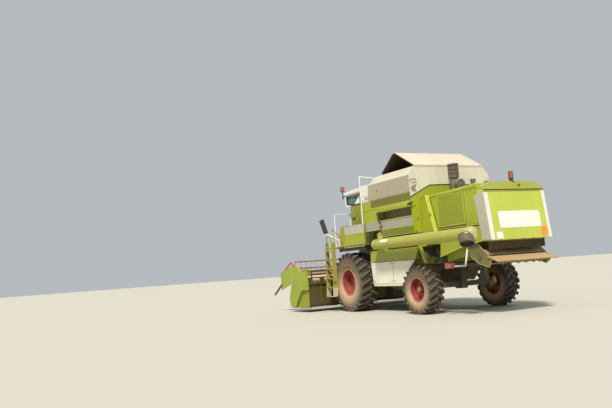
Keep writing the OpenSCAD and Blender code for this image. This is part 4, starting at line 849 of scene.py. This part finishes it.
# A black inner wall and disc inside the sleeve paint the shade up its throat.
lathe(mouth, leaning, [(0, 94), (168, 88), (164, 6), (156, 6), (159, 82), (0, 86)], 40)
new_piece("sleeve_throat_shade", rubber_black, "unloader")
lathe(mouth, leaning, [(188, 186), (194, 186), (194, 200), (188, 200)], 40)
new_piece("spout_clamp", steel, "unloader")

# Cab: welded posts and sheet, lime below the window line and pale above, under a white moulded roof.
# Window panes sit in black rubber; the door has a dark window frame, folded edges, a blind and a handle.
SILL, ROOF_TOP, DOOR_FACE = 3.34, 5.0, 916
coat("cab_coat", "lime_paint", (122, 128, 16), (140, 144, 44), PRIMER, "cab_frame", splashed=0.1, film=0.06,
     layers=[band(SILL, ROOF_TOP, WHITE, WHITE_FADED)])
coat("cab_door_coat", "lime_paint", (122, 128, 16), (140, 144, 44), PRIMER, "cab_door", splashed=0.1, film=0.06,
     layers=[band(SILL, ROOF_TOP, (44, 44, 42), (66, 64, 60))])
glass, tree, shader = new_finish("window_pane", "window_glass")
dirt = add_dust(tree, 0.3, 0.0, 0.12)
shader.inputs["Base Color"].default_value = tint(176, 206, 200)
shader.inputs["Transmission Weight"].default_value = 1.0
shader.inputs["IOR"].default_value = 1.3
tree.links.new(between(tree, dirt, 0.0, 1.0, 0.02, 0.5), shader.inputs["Roughness"])
finish_parts(glass, "cab_glass door_glass")


def frame_ring(axis, level0, level1, a0, a1, b0, b1, width):
    """Four bars round a window; a and b are its edges in the two directions across the axis, in mm."""
    low, high = b0 + width, b1 - width
    for u0, u1, v0, v1 in ((a0, a1, b0, low), (a0, a1, high, b1), (a0, a0 + width, low, high),
                           (a1 - width, a1, low, high)):
        prism([(u0, v0), (u1, v0), (u1, v1), (u0, v1)], axis, level0, level1)


frame_ring("x", 560, 570, -862, 862, 2468, 3282, 26)
frame_ring("x", 880, 890, -862, 862, 3438, 3682, 22)
frame_ring("x", -772, -760, -772, 772, 2988, 3672, 26)
frame_ring("y", -930, -920, -92, 512, 2988, 3682, 26)
new_piece("window_seals", rubber_black, bevel=3)
block((-24, DOOR_FACE, 3392), (776, DOOR_FACE + 6, 3412))
block((-24, DOOR_FACE, 3674), (776, DOOR_FACE + 6, 3690))
block((-30, DOOR_FACE, 3392), (-14, DOOR_FACE + 6, 3690))
new_piece("door_window_seal", rubber_black, "cab_door", 2)
prism([(-34, 3390), (300, 3390), (40, 3590), (-34, 3600)], "y", DOOR_FACE + 2, DOOR_FACE + 10)
new_piece("door_window_corner", white, "cab_door", 2)
prism([(-30, 3640), (640, 3640), (700, 3694), (-30, 3694)], "y", DOOR_FACE + 1, DOOR_FACE + 5)
brown_blind = coat("brown_blind", "red_paint", (108, 74, 60), (134, 100, 82), (90, 70, 60))
new_piece("door_window_blind", brown_blind, "cab_door", 1)
# The door's folded edges are painted in the lighter lime as their highlight.
block((430, DOOR_FACE, 2150), (448, DOOR_FACE + 6, 3290))
block((-60, DOOR_FACE, 2150), (-44, DOOR_FACE + 6, 3290))
block((-44, DOOR_FACE, 2150), (430, DOOR_FACE + 6, 2166))
new_piece("door_folds", lime_highlight, "cab_door", 2)
prism([(330, 2900), (470, 2900), (478, 2912), (478, 2960), (470, 2972), (330, 2972), (322, 2960), (322, 2912)],
      "y", DOOR_FACE, DOOR_FACE + 8)
pipe([(340, DOOR_FACE + 6, 2936), (344, 950, 2936), (452, 950, 2936), (456, DOOR_FACE + 6, 2936)], 9, 8)
new_piece("door_handle", rubber_black, "cab_door", 2)
block((-330, 920, 2120), (-296, 923, 3330))
block((-742, 920, 2060), (-722, 926, 3330))
new_piece("cab_side_slits", rubber_black, both=True)
block((-590, 950, 3372), (-186, 954, 3788))
block((-590, 950, 3564), (-186, 957, 3576))
new_piece("roof_cheek_covers", white, bevel=3, both=True)
lathe((-270, 954, 3420), LEFT, collar(0, 18, 5), 16)
for x in range(-560, -380, 26):
    block((x, 954, 3420), (x + 10, 956, 3530))
new_piece("roof_cheek_vents", rubber_black, both=True)
prism([(906, 3745), (922, 3745), (922, 3822), (906, 3826)], "y", -952, 952)
for y in (-300, 300):
    block((-560, y - 30, 3903), (700, y + 30, 3916))
faded_red = coat("faded_red_plastic", "red_paint", (150, 78, 62), (176, 120, 100), (110, 80, 70), settled=0.3)
new_piece("roof_front_strip", faded_red, bevel=3)
pipe([(578, 300, 3300), (592, 300, 3286), (596, 40, 2900)], 8, 8)
pipe([(590, 260, 2980), (590, -180, 2820)], 6, 6)
block((572, 270, 3286), (592, 330, 3330))
new_piece("wiper", rubber_black, bevel=2)

# Roof lamps: four round work lamps in black housings under the roof's front edge, each on a short bent tube.
# Their domed glass is clear plastic with a little dust on it.
lamp_glass, tree, shader = new_finish("lamp_glass", "lamp_plastic")
dirt = add_dust(tree, 0.2, 0.1, 0.10)
set_look(tree, shader, blend_colours(tree, dirt, tint(224, 226, 222), tint(*STRAW_DUST)),
         between(tree, dirt, 0.0, 1.0, 0.12, 0.7))
shader.inputs["Coat Weight"].default_value = 0.6
ROOF_LAMPS, LAMP_AIM = [(905, y, 3706) for y in (-760, -430, 430, 760)], (1, 0, -0.25)
for x, y, z in ROOF_LAMPS:
    lathe((x, y, z), LAMP_AIM, [(0, -46), (38, -46), (66, -10), (70, 24), (64, 28), (60, 20), (0, 20)], 24)
    pipe([(870, y, 3742), (890, y, 3720)], 10, 6)
new_piece("roof_lamps", rubber_black)
for spot in ROOF_LAMPS:
    lathe(spot, LAMP_AIM, [(0, 16), (61, 16), (50, 26), (26, 31), (0, 32)], 24)
new_piece("roof_lamp_glass", lamp_glass)

# Driver's seat: two foam pads in dusty teal cloth with sewn channels and piping, on a black pan over bellows.
# A grey console with its levers stands at the driver's right hand.
cloth, tree, shader = new_finish("seat_cloth", "black_plastic")
where = surface(tree, "Object")
threads = [add_node(tree, "ShaderNodeTexWave", [("Vector", where), ("Scale", 95.0)],
                    bands_direction=way).outputs["Fac"] for way in "XZ"]
weave = math_node(tree, "MULTIPLY", *threads)
worn = between(tree, noise(tree, where, 7.0, 4.0), 0.4, 0.7)
cloth_colour = blend_colours(tree, worn, tint(52, 106, 104), tint(96, 132, 124))
cloth_colour = blend_colours(tree, math_node(tree, "MULTIPLY", weave, 0.35), cloth_colour, tint(30, 60, 60))
dusted = blend_colours(tree, add_dust(tree, 0.25, 0.0, 0.08), cloth_colour, tint(*STRAW_DUST))
set_look(tree, shader, dusted, between(tree, worn, 0.0, 1.0, 0.95, 0.8), weave, 0.4, 0.002)
shader.inputs["Sheen Weight"].default_value = 0.3


def pad(name, middle, size, lean, channels):
    """A crowned foam pad of length, width and thickness, leaned back by lean degrees. Its sides pull in between
    the corners, and sewn channels cross it at each share of its half length."""
    bmesh.ops.create_cube(shapes, size=2)
    bmesh.ops.subdivide_edges(shapes, edges=shapes.edges[:], cuts=15, use_grid_fill=True)
    turn = Matrix.Rotation(math.radians(lean), 3, "Y")
    for vert in shapes.verts:
        u, v, w = vert.co
        edge = max(abs(u), abs(v))
        shoulder = 1 - 0.16 * max(0.0, abs(w) - 0.2) * edge ** 6
        x = u * size[0] / 2 * shoulder * (1 - 0.035 * (1 - v * v))
        y = v * size[1] / 2 * shoulder * (1 - 0.035 * (1 - u * u))
        z = w * size[2] / 2 * (1 - 0.35 * edge ** 8)
        if w > 0:
            z += w * size[2] * 0.16 * (1 - u ** 4) * (1 - v ** 4)
            for at in channels:
                z -= w * size[2] * 0.11 * math.exp(-((u - at) / 0.05) ** 2) * (1 - 0.3 * v * v)
        vert.co = place(*middle) + turn @ Vector((x, y, z)) / 1000
    piece = new_piece(name, cloth)
    smoother = piece.modifiers.new("soft_shape", "SUBSURF")
    smoother.levels = smoother.render_levels = 1
    return piece


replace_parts(pad("seat_cushion", (-215, 0, 2512), (480, 500, 96), 0, (-0.36, 0.0, 0.36)), "seat")
pad("seat_back", (-437, 0, 2838), (540, 480, 84), 82, (-0.5, -0.1, 0.3))
piping = [(-440, -238), (8, -238), (20, -226), (20, 226), (8, 238), (-440, 238)]
pipe([(x, y, 2505) for x, y in piping], 7, 8)
new_piece("seat_piping", rubber_black)
prism([(-460, 2432), (20, 2432), (26, 2462), (-440, 2466)], "y", -240, 240)
prism([(-486, 2560), (-472, 2560), (-538, 3090), (-552, 3090)], "y", -215, 215)
for z in range(2100, 2430, 44):
    block((-400 + (z // 44) % 2 * 12, -220, z), (-140 - (z // 44) % 2 * 12, 220, z + 38))
new_piece("seat_pan", rubber_black, bevel=5)
interior = coat("cab_interior", "grey_paint", (92, 92, 88), (120, 118, 110), (70, 68, 64), settled=0.4,
                splashed=0.0, film=0.1, gloss=0.6, wave=0.2)
prism([(-380, 2096), (160, 2096), (220, 2560), (150, 2640), (-380, 2600)], "y", -480, -330)
prism([(520, 2096), (400, 2096), (440, 2420), (520, 2470)], "y", -420, 420)
new_piece("console", interior, bevel=14)
for k, (x, y) in enumerate(((60, -400), (0, -380), (-60, -420), (-140, -400))):
    top = (x + 18 * k, y, 2740 - 14 * k)
    pipe([(x, y, 2600), (x + 4, y, 2660), top], 6, 6)
    lathe(top, (0.1, 0, 1), [(0, -14), (14, -8), (19, 6), (15, 20), (0, 26)], 14)
block((150, -470, 2640), (190, -340, 2780))
new_piece("levers", rubber_black)

# Platform and its closed side board: a sheet steel deck with raised grip bars, and a board that is lime below and
# pale grey above. Folded edges and bolts hold it, and a black lever stands beside its end.
BOARD_FACE = 1500
coat("board_and_deck", "grey_paint", (70, 66, 60), (96, 90, 80), RUSTY_STEEL, "platform", splashed=0.2,
     layers=[band(2.042, 2.385, LIME, LIME_FADED), band(2.385, 3.0, GREY, GREY_FADED),
             band(1.90, 1.9995, LIME, LIME_FADED)])
for x in range(-1030, 1010, 70):
    block((x, 960, 2040), (x + 10, 1470, 2045))
    if x > 570:
        block((x, 650, 2040), (x + 10, 950, 2045))
new_piece("platform_grip", steel)
# The board's edges are painted in the lighter lime as their highlight.
strip((138, 1984), (36, 2650), 12, BOARD_FACE, BOARD_FACE + 6)
block((-1056, BOARD_FACE, 2376), (76, BOARD_FACE + 7, 2390))
block((-1056, BOARD_FACE, 1980), (128, BOARD_FACE + 8, 1996))
block((-1062, BOARD_FACE, 1996), (-1046, BOARD_FACE + 6, 2650))
new_piece("board_folds", lime_highlight, bevel=2)
prism([(-210, 2650), (40, 2650), (36, 2674), (-200, 2674)], "y", 1470, BOARD_FACE + 4)
maroon = coat("dull_maroon", "red_paint", (92, 52, 54), (120, 84, 80), (80, 60, 56), film=0.12)
new_piece("board_top_pad", maroon, bevel=4)
bolt_heads([(x, BOARD_FACE, z) for x in (-980, -640, -300, 20) for z in (2040, 2340, 2600)], LEFT, 16)
new_piece("board_bolts", steel)
block((230, BOARD_FACE, 2140), (330, BOARD_FACE + 3, 2172))
pipe([(455, 1494, 2330), (470, 1494, 2420), (770, 1494, 2566), (860, 1494, 2612)], 9, 8)
lathe((868, 1494, 2616), (0.88, 0, 0.47), [(0, -6), (18, 0), (24, 14), (18, 30), (0, 36)], 16)
new_piece("post_lever", rubber_black)

# Ladder: two upright plates with steps between, in yellow-green paint worn by boots; the lowest frame is pale.
# Its rear plate carries a round black ring, and a hand hoop rises over each.
STEPS, LOWEST_STEP, STEP_RISE = 6, 495, 288
coat("ladder_coat", "yellow_green_paint", (152, 142, 24), (168, 158, 54), RUSTY_STEEL, "ladder", chips=0.9,
     layers=[band(0.46, 0.757, (196, 190, 160), (206, 198, 172))])
ring = [math.tau * k / 20 for k in range(20)]
pipe([(549, 1716 + 40 * math.cos(t), 919 + 40 * math.sin(t)) for t in ring], 8, 8, loop=True)
for i in range(3, STEPS):
    z = LOWEST_STEP + i * STEP_RISE
    block((600, 1654 + (STEPS - i) * 8, z), (980, 1770 - i * 6, z + 4))
new_piece("ladder_ring", rubber_black)
pipe([(1034, 1640, 1120), (1056, 1640, 1160), (1056, 1640, 2380), (1030, 1612, 2420), (1000, 1560, 2420),
      (990, 1530, 2390), (990, 1520, 2040)], 14, 10)
pipe([(571, 1640, 2200), (571, 1634, 2480), (571, 1580, 2530), (571, 1530, 2480), (571, 1520, 2040)], 14, 10)
new_piece("ladder_hoops", yellow_green)
for i in range(STEPS):
    z = LOWEST_STEP + i * STEP_RISE
    for y in range(1650 + (STEPS - i) * 8, 1770 - i * 6, 22):
        block((590, y, z), (992, y + 6, z + 6))
new_piece("step_grips", steel)

# Mirror: a dark shell with a plain glass on a bent pale arm that stands out from the platform.
# The glass faces the driver and lies in the shell's rim.
coat("mirror_coat", "white_paint", WHITE, WHITE_FADED, WHITE_CHIPPED, "mirrors", splashed=0.0,
     layers=[band(2.505, 3.2, (48, 52, 54), (66, 68, 68))])
silvered, tree, shader = new_finish("mirror_glass", "window_glass")
dirt = add_dust(tree, 0.2, 0.0, 0.08)
set_look(tree, shader, blend_colours(tree, dirt, tint(88, 98, 104), tint(150, 144, 130)),
         between(tree, dirt, 0.0, 1.0, 0.22, 0.7))
shader.inputs["Metallic"].default_value = 0.6
MIRROR_TILT = math.radians(16.7)
along_tilt, across_tilt = math.cos(MIRROR_TILT), math.sin(MIRROR_TILT)
corners = [(-62, -226), (62, -226), (70, -216), (70, 216), (62, 226), (-62, 226), (-70, 216), (-70, -216)]
prism([(1846 + y * along_tilt + z * across_tilt, 2720 - y * across_tilt + z * along_tilt) for y, z in corners],
      "x", 779, 784)
new_piece("mirror_glass", silvered, bevel=1)

# Beacons and lamps: amber domes on black feet; red tail lamps in white housings at the ends of bent white tubes.
# A clamp ring holds each dome, and a black bezel each tail lamp's ribbed lens.
REAR_DOME, FRONT_DOME, AMBER = (3.283, 3.6), (3.897, 4.2), ((150, 70, 44), (164, 98, 74))
coat("beacon_coat", "beacon_plastic", (60, 58, 54), (80, 76, 70), (60, 56, 50), "beacons", splashed=0.0, wave=0.0,
     gloss=0.35, layers=[band(*REAR_DOME, *AMBER), band(*FRONT_DOME, *AMBER)])
lathe((1050, 900, 3896), UP, collar(70, 76, 18), 32)
lathe((-5710, -45, 3282), UP, collar(62, 68, 16), 32)
lathe((-5710, -45, 3216), UP, [(0, 0), (78, 0), (78, 10), (46, 16), (0, 16)], 32)
new_piece("beacon_rings", rubber_black, bevel=1)
lamp_coat = coat("lamp_coat", "lamp_plastic", WHITE, WHITE_FADED, WHITE_CHIPPED, "lamps", splashed=0.2, wave=0.0,
                 gloss=0.3, layers=[beyond(1.4295, (168, 46, 38), (186, 84, 70))])
frame_ring("x", -5046, -5040, 1430, 1680, 1170, 1308, 12)
block((-5046, 1546, 1182), (-5040, 1554, 1296))
new_piece("lamp_bezels", rubber_black, bevel=2, both=True)
for z in range(1190, 1290, 12):
    block((-5044, 1446, z), (-5040, 1542, z + 6))
new_piece("lamp_lens_ribs", lamp_coat, both=True)

# Header: folded lime sheet between two end sheets, dusty below, with ribs on its back and a round top tube; its
# dust is a dark brown that also stands for shade, and its rear-facing faces are painted dark olive as shade.
# Worn skids carry it over the stubble; the dividers' noses are black, and red brackets and braces hold each wedge.
# Faces turned rearward, where the header's painted shade goes.
rear_faces_shade, given, result = new_group("Rear faces shade", [("Lean", "Float", -0.3)], [("Mask", "Float")])
facing_ahead = along(rear_faces_shade, surface(rear_faces_shade, "Normal"), "X")
rear_faces_shade.links.new(math_node(rear_faces_shade, "LESS_THAN", facing_ahead, given.outputs["Lean"]), result.inputs["Mask"])
header_lime_and_shade = coat("header_shaded_coat", "lime_paint", LIME, LIME_FADED, RUSTY_STEEL, "header_frame", settled=0.6,
                   splashed=0.25, dust=(96, 82, 48),
                   layers=[(rear_faces_shade, {}, (66, 56, 20), (88, 76, 36)), beyond(2.2495, LIME, LIME_FADED)])
coat("divider_coat", "lime_paint", (138, 158, 20), (160, 172, 52), RUSTY_STEEL, "dividers", splashed=0.15,
     film=0.04)
for k in range(11):
    y = -2232 + k * 446
    prism([(1400, 300), (1378, 330), (1378, 880), (1400, 900)], "y", y - 12, y + 12)
new_piece("header_back_ribs", header_lime_and_shade, "header", 3)
for y in (-2150, -1200, 1200, 2150):
    prism([(1440, 262), (1560, 150), (2100, 122), (2180, 140), (2180, 158), (1580, 168), (1452, 276)],
          "y", y - 60, y + 60)
new_piece("header_skids", steel, "header", 2)
for y in (-1700, -800, 800, 1700):
    block((1342, y - 40, 898), (1404, y + 40, 905))
    bolt_heads([(1345, y - 24, 945), (1345, y + 24, 945)], REARWARD, 20)
for out in (1, -1):
    bolt_heads([(x, out * 2270, z) for x, z in ((1440, 1100), (1440, 400), (1560, 220), (2300, 250), (2500, 250))],
               (0, out, 0), 22)
new_piece("header_bolts", steel, "header")
prism([(2444, 952), (2520, 952), (2600, 700), (2566, 640), (2500, 700)], "y", 2256, 2282)
new_piece("divider_brackets", red, "header", 4, both=True)
bright_red = coat("bright_red_coat", "red_paint", (186, 34, 24), (200, 70, 50), RUSTY_STEEL, film=0.06,
                  splashed=0.1)
prism([(2190, 1520), (2480, 1692), (2520, 1692), (3030, 1470), (3018, 1424), (2510, 1636), (2486, 1636),
       (2214, 1476)], "y", 2292, 2318)
new_piece("divider_braces", bright_red, "header", 4, both=True)
DIVIDER_SIDE = 2350
# Strips along the dividers' edges are painted in the lighter lime as their highlight.
for start, end, width in (((2322, 1500), (2462, 960), 22), ((1352, 1318), (1788, 1332), 10)):
    strip(start, end, width, DIVIDER_SIDE, DIVIDER_SIDE + 3)
new_piece("divider_edge_strips", lime_highlight, "header", 1, both=True)
nose = coat("black_nose", "black_plastic", (22, 21, 20), (40, 37, 33), (90, 84, 76), settled=0.5, splashed=0.4)
for out in (1, -1):
    lathe((4098, out * (DIVIDER_SIDE - 62), 549), (-0.879, 0, 0.477),
          [(0, 0), (14, 18), (37.4, 108), (38, 852), (30, 858), (0, 860)], 24)
new_piece("divider_noses", nose, "header")

# Feeder: a slanting lime channel that the header hangs on, with pressed ribs on its top and sides.
# Steel slats stand in it for those of its chain.
for y in (-420, -140, 140, 420):
    strip((740, 1476), (1370, 894), -8, y - 16, y + 16)
for out in (1, -1):
    strip((560, 1440), (1350, 800), 14, out * 600, out * 606)
new_piece("feeder_ribs", lime, "header", 2)
for k in range(6):
    x, z = 940 + k * 84, 1060 - k * 78
    prism([(x, z), (x + 26, z - 22), (x + 34, z - 12), (x + 8, z + 10)], "y", -550, 550)
new_piece("feeder_slats", steel, "header", 1)

# Reel: a red tube with spiders that carry six tined bars; each spider is stiffened by a star plate.
# Its paint is worn pale by straw, and small clamps hold the tines.
REEL_X, REEL_Z, BARS, BAR_CIRCLE = 2560, 1240, 6, 450
reel_red = coat("reel_red_coat", "red_paint", (176, 60, 48), (200, 120, 96), (150, 138, 120), "reel", film=0.22,
                reach=0.01)
star = [(math.pi * k / BARS, 130 if k % 2 else 250) for k in range(2 * BARS)]
for y in (-2162, 2150):
    prism([(REEL_X + r * math.sin(t), REEL_Z + r * math.cos(t)) for t, r in star], "y", y + 12, y + 18)
    lathe((REEL_X, y + 6, REEL_Z), (0, 1 if y > 0 else -1, 0), [(0, 0), (76, 0), (76, 30), (60, 38), (0, 38)], 24)
new_piece("reel_star_plates", reel_red, "reel", 2)
for i in range(BARS):
    turn = math.tau * i / BARS
    x, z = REEL_X + BAR_CIRCLE * math.sin(turn), REEL_Z + BAR_CIRCLE * math.cos(turn)
    for y in range(-2090, 2091, 200):
        block((x - 26, y - 14, z - 30), (x + 26, y + 14, z + 6))
new_piece("tine_clamps", steel, "reel", 3)

# Header auger: rolled tube with opposed flights of sheet in worn grey paint.
# The fingers in its middle pass through smooth bushes.
AUGER_X, AUGER_Z, AUGER_RADIUS, FINGERS = 1850, 520, 190, 10
for k in range(FINGERS):
    turn = math.radians(k * 108)
    spot = (AUGER_X + AUGER_RADIUS * math.sin(turn), -450 + k * 100, AUGER_Z + AUGER_RADIUS * math.cos(turn))
    lathe(spot, (math.sin(turn), 0, math.cos(turn)), [(0, -6), (26, -6), (24, 8), (10, 12), (0, 12)], 14)
new_piece("finger_bushes", rubber_black, "header_auger")
